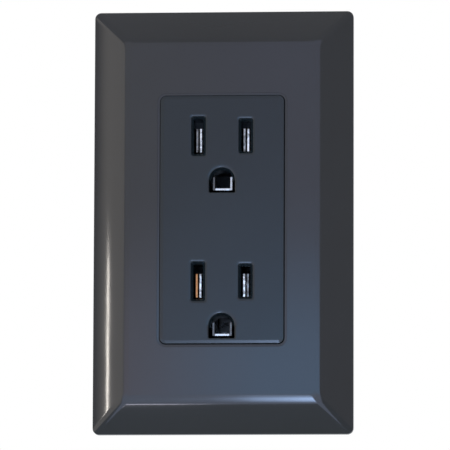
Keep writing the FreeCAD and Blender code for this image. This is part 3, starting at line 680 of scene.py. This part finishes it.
# %% [markdown]
# ## Screws with real threads
# A screw is a revolved outline, except along its thread, where the radius depends on the turn as
# well: the crest climbs by one pitch per turn. That is a function of angle and length, so one
# grid makes head, neck, thread and tip together. A texture of stripes would show no crests at the
# screw's edge.

# %% A screw as one grid
TURN_STEPS = 40
ROWS_PER_PITCH = 8
PITCH = 0.79375 * MM          # 32 threads to the inch
THREAD_DEPTH = 0.28 * MM
SCREW_SHARP_DEGREES = 35


def thread_ridge(phase):
    """Rounded saw shape from 0 to 1 and back over one pitch: a cosine raised to sharpen it."""
    return (0.5 + 0.5 * np.cos(2 * np.pi * phase)) ** 1.5


def screw_grid(stations, crest, depth, start, end):
    """Radius r(angle, height): between the stations it is their outline, and from start to end it
    is crest - depth + depth * ridge(height / pitch - angle / turn), faded at both ends."""
    count = int(round((end - start) / PITCH * ROWS_PER_PITCH))
    heights = np.linspace(start, end, count + 1)
    before = [s for s in stations if s[1] < start]
    after = [s for s in stations if s[1] >= end]
    angle = np.linspace(0.0, 2 * np.pi, TURN_STEPS, endpoint=False)
    fade = np.clip((heights - start) / PITCH, 0, 1) * np.clip((end - heights) / PITCH, 0, 1)
    phase = heights[:, None] / PITCH - angle[None, :] / (2 * np.pi)
    threaded = crest - depth + depth * thread_ridge(phase) * fade[:, None]
    low = np.array([[r] * TURN_STEPS for r, _ in before])
    high = np.array([[r] * TURN_STEPS for r, _ in after])
    radius = np.concatenate([low, threaded, high])
    height = np.concatenate([[h for _, h in before], heights, [h for _, h in after]])
    x, y = radius * np.cos(angle), radius * np.sin(angle)
    return np.stack([x, y, np.broadcast_to(height[:, None], x.shape)], axis=-1)


# %% [markdown]
# The head is a low dome on a short upright side. A screw is made standing up, with its seat at
# zero, and is then turned to look outward and moved to its place.

# %% Head, place and driver
def pan_head(radius, height):
    """Outline of a pan head from its seat to the middle of its crown: an upright side, then a
    crown of radius * cos(a) ** 0.7 while the height climbs with sin(a)."""
    angle = np.linspace(0.0, 1.0, 9) * np.pi / 2
    side = [(radius - 0.12 * MM, 0.0), (radius, 0.1 * MM), (radius, 0.45 * height)]
    crown = np.c_[radius * np.cos(angle) ** 0.7, height * (0.45 + 0.55 * np.sin(angle))]
    return side + [tuple(p) for p in crown[1:-1]] + [(0.0, height)]


def place(points, seat, outward, across):
    """Turn a screw made along +Z so that its head looks outward, with its slot along across."""
    outward, across = np.array(outward, float), np.array(across, float)
    third = np.cross(outward, across)
    return points @ np.stack([across, third, outward]) + np.array(seat)


def cutter(half_sizes, seat, outward, across):
    """Block for cutting a driver slot, placed like the screw."""
    signs = np.array([[x, y, z] for x in (-1, 1) for y in (-1, 1) for z in (-1, 1)], float)
    points = place(signs * np.array(half_sizes), seat, outward, across)
    quads = [[0, 1, 3, 2], [4, 6, 7, 5], [0, 4, 5, 1], [2, 3, 7, 6], [0, 2, 6, 4], [1, 5, 7, 3]]
    return mesh_object("cutter", points, [quads])


# %% [markdown]
# A boolean cut is right for the driver slots: they are flat-sided and meet the dome in a curve
# that no ring would follow. The result is kept as the mesh, and the blocks are thrown away.

# %% One whole screw
def screw(name, node, body, slot, seat, outward, across, sizes, drive):
    """Screw piece, cut by a block for each (half length, half width, bite) of its drive. sizes is
    head radius, head height, neck radius, neck length, crest and reach."""
    head_radius, head_height, neck, neck_length, crest, reach = sizes
    root = crest - THREAD_DEPTH
    stations = [(0.0, -reach), (root * 0.75, -reach), (root, -reach + 0.35 * MM)]
    stations += [(neck, -neck_length + 0.02 * MM), (neck, -0.02 * MM), (neck, 0.0)]
    stations += pan_head(head_radius, head_height)
    grid = screw_grid(stations, crest, THREAD_DEPTH, -reach + 0.4 * MM, -neck_length)
    points = place(grid.reshape(-1, 3), seat, outward, across)
    piece = mesh_object(name, points, [band_faces(len(grid), TURN_STEPS)], SCREW_SHARP_DEGREES)
    crown = np.array(seat) + np.array(outward) * head_height
    for half_sizes in drive:
        block = cutter(half_sizes, crown, outward, across)
        cut = piece.modifiers.new("driver slot", "BOOLEAN")
        cut.object, cut.solver = block, "EXACT"
        shape = bpy.data.meshes.new_from_object(
            piece.evaluated_get(bpy.context.evaluated_depsgraph_get())
        )
        piece.modifiers.remove(cut)
        piece.data = shape
        bpy.data.objects.remove(block)
    piece.data.name = name
    piece.data.set_sharp_from_angle(angle=math.radians(SCREW_SHARP_DEGREES))
    stand_for(piece, node, body, slot)


# %% [markdown]
# Seven screws are in sight: two long ones that hold the strap to the wall box, four terminal
# screws and a green ground screw. The heads take a flat or a cross driver, so two crossed blocks
# are cut out of each. The long screws have a plain neck where they pass through the washer.

# %% Make every screw
BOX_SCREW = (3.4 * MM, 2.0 * MM, 1.3 * MM, 3.8 * MM, 1.75 * MM, 23.2 * MM)
TERMINAL = (3.7 * MM, 2.3 * MM, 1.72 * MM, 0.4 * MM, 2.0 * MM, 5.7 * MM)
GROUND = (3.7 * MM, 2.3 * MM, 1.72 * MM, 0.4 * MM, 2.0 * MM, 4.8 * MM)
COMBINED = [(6 * MM, 0.55 * MM, 1.0 * MM), (0.5 * MM, 1.9 * MM, 1.3 * MM)]
for level, sign in (("upper", 1), ("lower", -1)):
    node = f"box_screw_{level}"
    seat = (0.0, -1.2 * MM, sign * 41.67 * MM)
    screw(
        f"box_mounting_screw_{level}", node, node, "screw_steel",
        seat, (0, -1, 0), (1, 0, 0), BOX_SCREW, COMBINED,
    )
    for pole, side, slot in (("hot", 1, "brass"), ("neutral", -1, "nickel")):
        node = f"{pole}_screw_{level}"
        seat = (side * 17.2 * MM, 10.5 * MM, sign * 12.5 * MM)
        screw(
            f"{pole}_terminal_screw_{level}", node, node, slot,
            seat, (side, 0, 0), (0, 0, 1), TERMINAL, COMBINED,
        )
screw(
    "green_ground_screw", "ground_screw", "ground_screw", "green_screw",
    (-18.4 * MM, 11.0 * MM, -31.0 * MM), (-1, 0, 0), (0, 0, 1), GROUND, COMBINED,
)

# %% [markdown]
# ## Shared surface effects
# Three effects come back in nearly every finish: the fine skin that a mould leaves, slow drifts
# of colour, and the small streaks of rolled or turned metal. Each is a node group, built once and
# used with its own values, so a change to one shows everywhere.

# %% Node group tools
def new_group(name, inputs, outputs):
    """Shader node group with float inputs (name, default) and outputs (name, kind)."""
    group = bpy.data.node_groups.new(name, "ShaderNodeTree")
    for label, default in inputs:
        socket = group.interface.new_socket(
            name=label, in_out="INPUT", socket_type="NodeSocketFloat"
        )
        socket.default_value = default
    for label, kind in outputs:
        group.interface.new_socket(
            name=label, in_out="OUTPUT", socket_type=f"NodeSocket{kind}"
        )
    enter = group.nodes.new("NodeGroupInput")
    leave = group.nodes.new("NodeGroupOutput")
    return group, enter, leave


def add(tree, kind, links=(), **values):
    """Node of a kind. links sets its inputs by name or number, each from another node's socket or
    to a plain value; values sets its properties."""
    node = tree.nodes.new(kind)
    for key, value in values.items():
        setattr(node, key, value)
    for socket, source in links:
        if isinstance(source, bpy.types.NodeSocket):
            tree.links.new(source, node.inputs[socket])
        else:
            node.inputs[socket].default_value = source
    return node


# %% [markdown]
# The skin of a moulding has two scales: a fine grain that softens highlights, and slow ripples
# that bend reflections. The fine bump is laid over the slow one.

# %% The skin of moulded plastic
def moulded_skin_group():
    """Bump of fine orange peel over slow ripples, and a mask of the ripples."""
    group, enter, leave = new_group(
        "moulded skin",
        [
            ("Grain scale", 2500.0),
            ("Grain depth", 0.05),
            ("Ripple scale", 90.0),
            ("Ripple depth", 0.05),
        ],
        [("Normal", "Vector"), ("Mask", "Float")],
    )
    where = add(group, "ShaderNodeTexCoord").outputs["Object"]
    grain = add(
        group, "ShaderNodeTexNoise",
        [("Vector", where), ("Scale", enter.outputs["Grain scale"]), ("Detail", 2.0)],
    )
    ripple = add(
        group, "ShaderNodeTexNoise",
        [("Vector", where), ("Scale", enter.outputs["Ripple scale"]), ("Detail", 1.0)],
    )
    slow = add(
        group, "ShaderNodeBump",
        [
            ("Strength", enter.outputs["Ripple depth"]),
            ("Distance", 0.4 * MM),
            ("Height", ripple.outputs["Fac"]),
        ],
    )
    fine = add(
        group, "ShaderNodeBump",
        [
            ("Strength", enter.outputs["Grain depth"]),
            ("Distance", 0.05 * MM),
            ("Height", grain.outputs["Fac"]),
            ("Normal", slow.outputs["Normal"]),
        ],
    )
    group.links.new(fine.outputs["Normal"], leave.inputs["Normal"])
    group.links.new(ripple.outputs["Fac"], leave.inputs["Mask"])
    return group


# %% [markdown]
# No real surface has one even colour. A cloudy mask with faint specks drifts over centimetres,
# and each finish uses it to move between two near colours.

# %% Slow drifts of colour
def drift_group():
    """Cloudy mask from 0 to 1 that drifts over some centimetres, with faint specks in it."""
    group, enter, leave = new_group(
        "slow drift", [("Scale", 35.0), ("Specks", 0.15)], [("Mask", "Float")]
    )
    where = add(group, "ShaderNodeTexCoord").outputs["Object"]
    cloud = add(
        group, "ShaderNodeTexNoise",
        [
            ("Vector", where),
            ("Scale", enter.outputs["Scale"]),
            ("Detail", 3.0),
            ("Roughness", 0.55),
        ],
    )
    speck = add(
        group, "ShaderNodeTexNoise", [("Vector", where), ("Scale", 900.0), ("Detail", 2.0)]
    )
    stretched = add(
        group, "ShaderNodeMapRange",
        [("Value", cloud.outputs["Fac"]), ("From Min", 0.3), ("From Max", 0.7)],
    )
    mixed = add(
        group, "ShaderNodeMix",
        [(0, enter.outputs["Specks"]), (2, stretched.outputs["Result"]), (3, speck.outputs["Fac"])],
        data_type="FLOAT",
    )
    group.links.new(mixed.outputs[0], leave.inputs["Mask"])
    return group


# %% [markdown]
# Rolled sheet and turned screws carry fine streaks along the way they were worked. Noise that is
# stretched along one axis gives them, and one group serves every metal with its own stretch.

# %% Streaks of worked metal
def worked_metal_group():
    """Streaks of rolling or turning: noise stretched along one axis, as a mask and as bump."""
    group, enter, leave = new_group(
        "worked metal",
        [("Stretch X", 1.0), ("Stretch Y", 1.0), ("Stretch Z", 0.04), ("Depth", 0.15)],
        [("Normal", "Vector"), ("Mask", "Float")],
    )
    where = add(group, "ShaderNodeTexCoord").outputs["Object"]
    stretch = add(
        group, "ShaderNodeCombineXYZ",
        [(index, enter.outputs[f"Stretch {axis}"]) for index, axis in enumerate("XYZ")],
    )
    scaled = add(
        group, "ShaderNodeVectorMath", [(0, where), (1, stretch.outputs[0])], operation="MULTIPLY"
    )
    streak = add(
        group, "ShaderNodeTexNoise",
        [("Vector", scaled.outputs[0]), ("Scale", 4500.0), ("Detail", 4.0), ("Roughness", 0.65)],
    )
    bump = add(
        group, "ShaderNodeBump",
        [
            ("Strength", enter.outputs["Depth"]),
            ("Distance", 0.04 * MM),
            ("Height", streak.outputs["Fac"]),
        ],
    )
    group.links.new(bump.outputs["Normal"], leave.inputs["Normal"])
    group.links.new(streak.outputs["Fac"], leave.inputs["Mask"])
    return group


SKIN, DRIFT, WORKED = moulded_skin_group(), drift_group(), worked_metal_group()
print("node groups:", SKIN.name, "-", DRIFT.name, "-", WORKED.name)

# %% [markdown]
# ## Finishes
# Each finish is a small recipe: two near colours that drift into each other, a roughness that
# drifts too, and a surface effect for the normal. The plate is a glossy slate-grey plastic and
# the face a slightly darker, greener one; the metals are rolled brass, nickel plate, zinc plate
# and a green dyed screw.

# %% Small tools for materials
def use_group(tree, group, **values):
    """Group node in a material; an underscore in a value's name stands for a space."""
    node = tree.nodes.new("ShaderNodeGroup")
    node.node_tree = group
    for label, value in values.items():
        node.inputs[label.replace("_", " ")].default_value = value
    return node


def blank_material(name):
    """New material with its node tree and its Principled shader."""
    material = bpy.data.materials.new(name)
    material.use_nodes = True
    tree = material.node_tree
    return material, tree, tree.nodes["Principled BSDF"]


def ramp(tree, value, start, end, low=0.0, high=1.0):
    """Smooth step from low to high as the value goes from start to end."""
    node = add(
        tree, "ShaderNodeMapRange",
        [
            ("Value", value),
            ("From Min", start),
            ("From Max", end),
            ("To Min", low),
            ("To Max", high),
        ],
        interpolation_type="SMOOTHSTEP",
    )
    return node.outputs["Result"]


def blend(tree, share, first, second):
    """Colour between two colours, each a tuple or a socket."""
    first = (*first, 1.0) if isinstance(first, tuple) else first
    second = (*second, 1.0) if isinstance(second, tuple) else second
    return add(
        tree, "ShaderNodeMix", [(0, share), (6, first), (7, second)], data_type="RGBA"
    ).outputs[2]


def product(tree, first, second):
    """One value times another."""
    return add(tree, "ShaderNodeMath", [(0, first), (1, second)], operation="MULTIPLY").outputs[0]


def between(tree, mask, low, high):
    """Straight step from low to high as the mask goes from 0 to 1."""
    return add(
        tree, "ShaderNodeMapRange", [("Value", mask), ("To Min", low), ("To Max", high)]
    ).outputs["Result"]


# %% [markdown]
# Plastic and plated metal differ only in their surface effect and in what the roughness follows:
# the clouds on plastic, the streaks on metal.

# %% One plastic and one metal
def moulded_plastic(name, first, second, roughness, grain, ripple, gloss=0.5):
    """Plastic with a fine mould skin, from two near colours and a range of roughness."""
    material, tree, shader = blank_material(name)
    drift = use_group(tree, DRIFT, Scale=28.0, Specks=0.2)
    skin = use_group(tree, SKIN, Grain_depth=grain, Ripple_depth=ripple)
    mask = drift.outputs["Mask"]
    tree.links.new(blend(tree, mask, first, second), shader.inputs["Base Color"])
    tree.links.new(between(tree, mask, *roughness), shader.inputs["Roughness"])
    tree.links.new(skin.outputs["Normal"], shader.inputs["Normal"])
    shader.inputs["Specular IOR Level"].default_value = gloss
    return material


def plated_metal(name, first, second, roughness, stretch, depth, metallic=1.0):
    """Metal with streaks along its working direction and a cloudy drift of colour."""
    material, tree, shader = blank_material(name)
    drift = use_group(tree, DRIFT, Scale=160.0, Specks=0.3)
    along_x, along_y, along_z = stretch
    streaks = use_group(
        tree, WORKED, Stretch_X=along_x, Stretch_Y=along_y, Stretch_Z=along_z, Depth=depth
    )
    tree.links.new(blend(tree, drift.outputs["Mask"], first, second), shader.inputs["Base Color"])
    tree.links.new(
        between(tree, streaks.outputs["Mask"], *roughness), shader.inputs["Roughness"]
    )
    tree.links.new(streaks.outputs["Normal"], shader.inputs["Normal"])
    shader.inputs["Metallic"].default_value = metallic
    return material


# %% [markdown]
# The contacts aren't evenly bright. Blades have rubbed them, so the tin is dull in patches, and one
# leaf is worn through to copper. Shade is painted on too: several leaves, and the ground clip's legs
# and deeper parts, are darkened where they sit in the slots' shadow, so the clip's foot stays bright.
# Masks made from place and noise say where.

# %% Worn contacts with painted shade
def worn_and_shaded_metal(name, bright, masks):
    """Bright metal with fine dents, then each (mask, colour) laid over it in turn. A mask is a
    function of the node tree, the three axes and a patchy noise."""
    material, tree, shader = blank_material(name)
    where = add(tree, "ShaderNodeTexCoord").outputs["Object"]
    axes = add(tree, "ShaderNodeSeparateXYZ", [(0, where)])
    noise = add(
        tree, "ShaderNodeTexNoise", [("Vector", where), ("Scale", 700.0), ("Detail", 2.0)]
    )
    patches = ramp(tree, noise.outputs["Fac"], 0.42, 0.6)
    colour = bright
    # the colours laid over are real wear and copper, and painted shade where leaves and legs sit in
    # the slots' shadow
    for mask, over in masks:
        colour = blend(tree, mask(tree, axes, patches), colour, over)
    dents = add(
        tree, "ShaderNodeBump",
        [("Strength", 0.6), ("Distance", 0.00012), ("Height", noise.outputs["Fac"])],
    )
    tree.links.new(colour, shader.inputs["Base Color"])
    tree.links.new(between(tree, patches, 0.2, 0.42), shader.inputs["Roughness"])
    tree.links.new(dents.outputs["Normal"], shader.inputs["Normal"])
    shader.inputs["Metallic"].default_value = 1.0
    return material


# %% [markdown]
# A mask is written as a function that builds its nodes when a material asks for it. That way a
# finish reads as a list: this colour past here, that one where both are true.

# %% Masks of place and noise
def past(axis, start, end, most=1.0):
    """Mask that rises from 0 to most while one axis goes from start to end."""
    return lambda tree, axes, patches: ramp(tree, axes.outputs[axis], start, end, 0.0, most)


def where_both(first, second):
    """Mask where two others overlap: their product."""
    return lambda *inputs: product(inputs[0], first(*inputs), second(*inputs))


def patchy(most):
    """Mask of the patchy noise, up to most."""
    return lambda tree, axes, patches: product(tree, patches, most)


# %% [markdown]
# Colours are linear, so even a mid grey plastic has small numbers. The plate and the face are the
# glossiest plastics, the frame and the body are dull, and the metals differ mostly in colour,
# since each keeps the streaks of its own making.

# %% Plastics and plated metals
def shades(*pair):
    """Two near colours from six numbers."""
    return pair[:3], pair[3:]


PLASTICS = {
    "plate_plastic": (
        "slate grey gloss plastic",
        *shades(0.015, 0.0155, 0.0165, 0.018, 0.0185, 0.020), (0.07, 0.11), 0.03, 0.05,
    ),
    "face_plastic": (
        "slate blue satin plastic",
        *shades(0.008, 0.012, 0.0145, 0.010, 0.015, 0.018), (0.15, 0.2), 0.05, 0.05, 0.38,
    ),
    "frame_plastic": (
        "charcoal matt plastic",
        *shades(0.018, 0.019, 0.021, 0.026, 0.027, 0.030), (0.45, 0.6), 0.3, 0.1,
    ),
    "body_plastic": (
        "black body plastic",
        *shades(0.012, 0.012, 0.013, 0.020, 0.020, 0.022), (0.38, 0.55), 0.35, 0.1,
    ),
    "fibre": (
        "red-brown fibre",
        *shades(0.23, 0.07, 0.035, 0.32, 0.11, 0.06), (0.6, 0.8), 0.6, 0.3,
    ),
}
METALS = {
    "zinc_steel": (
        "zinc-plated strap steel",
        *shades(0.48, 0.49, 0.50, 0.60, 0.60, 0.58), (0.28, 0.42), (1, 1, 0.05), 0.25,
    ),
    "screw_steel": (
        "bright screw steel",
        *shades(0.52, 0.52, 0.52, 0.62, 0.61, 0.58), (0.18, 0.32), (1, 0.3, 1), 0.12,
    ),
    "dark_screw": (
        "black oxide steel",
        *shades(0.03, 0.03, 0.034, 0.05, 0.05, 0.054), (0.3, 0.45), (1, 0.5, 1), 0.15,
    ),
    "brass": (
        "rolled brass",
        *shades(0.66, 0.45, 0.17, 0.76, 0.55, 0.25), (0.16, 0.3), (1, 1, 0.06), 0.15,
    ),
    "nickel": (
        "nickel plate",
        *shades(0.60, 0.58, 0.53, 0.70, 0.68, 0.63), (0.14, 0.28), (1, 1, 0.06), 0.15,
    ),
    "green_screw": (
        "green dyed plating",
        *shades(0.02, 0.16, 0.05, 0.04, 0.24, 0.09), (0.25, 0.4), (1, 0.4, 1), 0.12, 0.8,
    ),
}
finishes = {slot: moulded_plastic(*recipe) for slot, recipe in PLASTICS.items()}
finishes.update({slot: plated_metal(*recipe) for slot, recipe in METALS.items()})
print(len(PLASTICS), "plastics and", len(METALS), "metals")

# %% [markdown]
# The contacts share brass and nickel with other pieces, but each is worn and given painted shade in
# its own places, so each has a finish of its own. A mask names the axis, where it starts and where it
# is full.

# %% Where the contacts are worn and where shade is painted
TINNED = (0.74, 0.74, 0.72)
DULL = (0.16, 0.15, 0.13)
# painted shade for the left leaf of the neutral slots
PAINTED_LEAF_SHADE = (0.06, 0.055, 0.05)
# painted shade for hot leaves and for the ground clip's legs and deeper parts
PAINTED_SHADE = (0.05, 0.048, 0.045)
COPPER = (0.42, 0.19, 0.075)
BRASS = (0.70, 0.50, 0.21)
NICKEL = (0.60, 0.60, 0.58)
LEFT_LEAF = (-6.3 * MM, -6.4 * MM)
RIGHT_LEAF = (6.3 * MM, 6.4 * MM)
LEGS = (1.7 * MM, 2.05 * MM)
finishes["worn_and_shaded_neutral"] = worn_and_shaded_metal("worn tinned brass left with painted shade", TINNED, [
    (patchy(0.75), DULL),
    # the left leaf is darkened as painted shade; in the lower outlet it shows copper instead
    (past("X", *LEFT_LEAF, 0.8), PAINTED_LEAF_SHADE),
    (where_both(past("X", *LEFT_LEAF), past("Z", -5 * MM, -8 * MM)), COPPER),
])
finishes["worn_and_shaded_hot"] = worn_and_shaded_metal("worn tinned brass right with painted shade", TINNED, [
    (patchy(0.75), DULL),
    # one leaf of each hot slot is darkened as painted shade
    (where_both(past("X", *RIGHT_LEAF[::-1]), past("Z", 5 * MM, 8 * MM, 0.6)), PAINTED_SHADE),
    (where_both(past("X", *RIGHT_LEAF), past("Z", -5 * MM, -8 * MM, 0.8)), PAINTED_SHADE),
    (past("X", 9 * MM, 10 * MM), BRASS),
])
finishes["shaded_clip"] = worn_and_shaded_metal("nickel clip with painted shade", NICKEL, [
    # painted shade: the legs, most in the lower outlet, and the deeper parts are darkened; only the
    # foot stays bright
    (past("X", -LEGS[0], -LEGS[1], 0.92), PAINTED_SHADE),
    (past("X", *LEGS, 0.3), PAINTED_SHADE),
    (where_both(past("X", *LEGS), past("Z", 0.0, -8 * MM, 0.85)), PAINTED_SHADE),
    (past("Y", 5 * MM, 8 * MM, 0.95), PAINTED_SHADE),
])

# %% [markdown]
# Each visible piece now takes the finish of its slot. The contacts take their finishes of wear and
# painted shade by name, and every piece has just one material.

# %% Give out the finishes
# contact finishes with real wear and painted shade, by piece name
WORN_AND_SHADED = {
    "hot_contact_strip": "worn_and_shaded_hot",
    "neutral_contact_strip": "worn_and_shaded_neutral",
    "ground_contact_strip": "shaded_clip",
}
slots = {s["node"]: s["material_slot"] for s in frame["record"]["subparts"]}
for piece in bpy.data.objects:
    if piece.type == "MESH" and not piece.hide_render:
        node = piece.get("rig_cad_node")
        finish = finishes[slots[node] if node else piece["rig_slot"]]
        finish = finishes.get(WORN_AND_SHADED.get(piece.name), finish)
        piece.data.materials.clear()
        piece.data.materials.append(finish)
print(len(finishes), "finishes given out")

# %% [markdown]
# ## Floor, light and camera
# A dark glossy moulding is drawn by what it reflects. Two broad glowing sheets, in front and on
# the left, fill the flat field and the left border. Two small cards add highlights: a narrow
# upright one draws the line down the left border, and one low in front catches the lower ridge.
# The floor is plain, pale and far below, and the background is white.

# %% Floor and world
def soft_world():
    """White where the camera looks past the object; for light and reflections a dimmer bluish
    grey, a little brighter towards the top."""
    world = bpy.data.worlds.new("pale studio")
    bpy.context.scene.world = world
    world.use_nodes = True
    tree = world.node_tree
    tree.nodes.clear()
    seen = add(tree, "ShaderNodeBackground", [("Color", (1, 1, 1, 1)), ("Strength", 1.0)])
    where = add(tree, "ShaderNodeTexCoord").outputs["Generated"]
    height = add(tree, "ShaderNodeSeparateXYZ", [(0, where)]).outputs["Z"]
    strength = add(
        tree, "ShaderNodeMapRange",
        [("Value", height), ("From Min", -0.2), ("To Min", 0.58), ("To Max", 0.7)],
    ).outputs["Result"]
    felt = add(
        tree, "ShaderNodeBackground", [("Color", (0.94, 0.96, 1, 1)), ("Strength", strength)]
    )
    path = add(tree, "ShaderNodeLightPath")
    mix = add(
        tree, "ShaderNodeMixShader",
        [(0, path.outputs["Is Camera Ray"]), (1, felt.outputs[0]), (2, seen.outputs[0])],
    )
    add(tree, "ShaderNodeOutputWorld", [("Surface", mix.outputs[0])])


def floor(half, level):
    """Square floor, 2 * half wide, at the height level."""
    corners = [(x, y, level) for x, y in ((-half, -half), (half, -half), (half, half), (-half, half))]
    plane = mesh_object("floor", np.array(corners), [[[0, 1, 2, 3]]])
    material, _, shader = blank_material("pale floor")
    shader.inputs["Base Color"].default_value = (0.66, 0.73, 0.73, 1)
    shader.inputs["Roughness"].default_value = 0.7
    plane.data.materials.append(material)


soft_world()
floor(half=6.0, level=-1.3)

# %% [markdown]
# A lamp gives an even rectangle, which suits a highlight. The broad sheets need a glow that
# changes over them, so they are meshes with an emission shader, and the colour comes from masks of
# place. Both kinds are hidden from the camera, so that they show only as reflections and light.


# %% Cards and glowing sheets
def card(name, centre, size, glow, colour):
    """Rectangular light at centre, facing the outlet and hidden from the camera. Its glow is its
    brightness per area, so the power is glow * pi * width * height."""
    lamp = bpy.data.lights.new(name, "AREA")
    lamp.shape = "RECTANGLE"
    lamp.size, lamp.size_y = size
    lamp.energy = glow * math.pi * size[0] * size[1]
    lamp.color = colour
    light = bpy.data.objects.new(name, lamp)
    light.location = centre
    light.rotation_euler = (-Vector(centre)).to_track_quat("-Z", "Y").to_euler()
    light.visible_camera = False
    bpy.context.scene.collection.objects.link(light)
    print(name, "at", centre, "power", round(lamp.energy, 3))


def glow_sheet(name, corners, colour):
    """Glowing rectangle hidden from the camera; colour builds its nodes from X, Y and Z."""
    sheet = mesh_object(name, np.array(corners), [[[0, 1, 2, 3]]])
    material = bpy.data.materials.new(name + "_glow")
    material.use_nodes = True
    tree = material.node_tree
    tree.nodes.clear()
    where = add(tree, "ShaderNodeTexCoord").outputs["Object"]
    axes = add(tree, "ShaderNodeSeparateXYZ", [(0, where)])
    glow = add(tree, "ShaderNodeEmission", [("Color", colour(tree, axes)), ("Strength", 1.0)])
    add(tree, "ShaderNodeOutputMaterial", [("Surface", glow.outputs[0])])
    sheet.data.materials.append(material)
    sheet.visible_camera = False
    print(name, "from", corners[0], "to", corners[2])


# %% [markdown]
# The front sheet is the soft box that the flat field mirrors. It is neutral above and bluer below,
# with a bright patch low on the right. The left sheet is a warm grey that fades towards the wall.

# %% The glow of both sheets
def front_glow(tree, axes):
    """Neutral above, bluer and brighter below, and a bright low patch towards the right."""
    rightward = ramp(tree, axes.outputs["X"], -0.085, -0.01)
    downward = ramp(tree, axes.outputs["Z"], 0.075, 0.01)
    above = blend(tree, rightward, (0.93, 0.95, 1.04), (0.95, 1.0, 1.28))
    below = blend(tree, rightward, (1.45, 1.40, 1.70), (1.25, 1.9, 2.95))
    field = blend(tree, downward, above, below)
    rise = ramp(tree, axes.outputs["Z"], -0.03, -0.21)
    fall = ramp(tree, axes.outputs["Z"], -0.52, -0.25)
    left_end = ramp(tree, axes.outputs["X"], -0.044, 0.006)
    right_end = ramp(tree, axes.outputs["X"], 0.035, 0.008)
    patch = product(tree, product(tree, rise, fall), product(tree, left_end, right_end))
    low = blend(tree, patch, (1.3, 1.5, 2.0), (9.2, 12.9, 20.2))
    return blend(tree, ramp(tree, axes.outputs["Z"], 0.0, -0.08), field, low)


def left_glow(tree, axes):
    """Warm grey that fades out towards the wall."""
    return blend(
        tree, ramp(tree, axes.outputs["Y"], -0.16, -0.34), (0.45, 0.44, 0.44), (1.55, 1.47, 1.38)
    )


# %% [markdown]
# Each highlight's place on the plate follows from the law of mirrors: half way, in angle, between
# the camera and the light. The cards were set out that way and then moved a little.

# %% Set up the lights
FRONT_X, FRONT_Y, FRONT_Z = (-0.34, 0.26), -0.5, (-0.6, 0.34)
glow_sheet(
    "front_sheet",
    [(x, FRONT_Y, z) for x, z in zip(FRONT_X + FRONT_X[::-1], np.repeat(FRONT_Z, 2))],
    front_glow,
)
LEFT_X, LEFT_Y, LEFT_Z = -0.9, (-1.25, -0.05), (-0.6, 0.6)
glow_sheet(
    "left_sheet",
    [(LEFT_X, y, z) for y, z in zip(LEFT_Y + LEFT_Y[::-1], np.repeat(LEFT_Z, 2))],
    left_glow,
)
card("left strip", (-0.757, -0.289, 0.034), (0.015, 0.108), 37.0, (1.0, 0.94, 0.86))
card("low left card", (-0.074, -0.37, -0.44), (0.05, 0.03), 10.0, (0.95, 0.92, 1.08))


# %% [markdown]
# The camera stands far off with a long lens, a little to the right and below the middle, so the
# upright sides stay nearly parallel. View width is the width seen at the plate, in metres.

# %% Camera
CAMERA_AZIMUTH = math.radians(4.0)
CAMERA_ELEVATION = math.radians(-7.5)
CAMERA_ROLL = math.radians(0.2)
CAMERA_DISTANCE = 1.5
VIEW_WIDTH = 0.1203
AIM = Vector((0.0008, PLATE_FRONT, -0.0015))
camera_data = bpy.data.cameras.new("camera")
camera = bpy.data.objects.new("camera", camera_data)
bpy.context.scene.collection.objects.link(camera)
flat = math.cos(CAMERA_ELEVATION)
towards = Vector(
    (math.sin(CAMERA_AZIMUTH) * flat, -math.cos(CAMERA_AZIMUTH) * flat, math.sin(CAMERA_ELEVATION))
)
camera.location = AIM + towards * CAMERA_DISTANCE
camera.rotation_mode = "QUATERNION"
roll = Quaternion((0.0, 0.0, 1.0), CAMERA_ROLL)
camera.rotation_quaternion = (-towards).to_track_quat("-Z", "Y") @ roll
camera_data.sensor_width = 36.0
camera_data.lens = camera_data.sensor_width * CAMERA_DISTANCE / VIEW_WIDTH
camera_data.clip_start, camera_data.clip_end = 0.01, 50.0
bpy.context.scene.camera = camera
bpy.context.scene.view_settings.view_transform = "Standard"
print("camera at", tuple(round(v, 4) for v in camera.location))
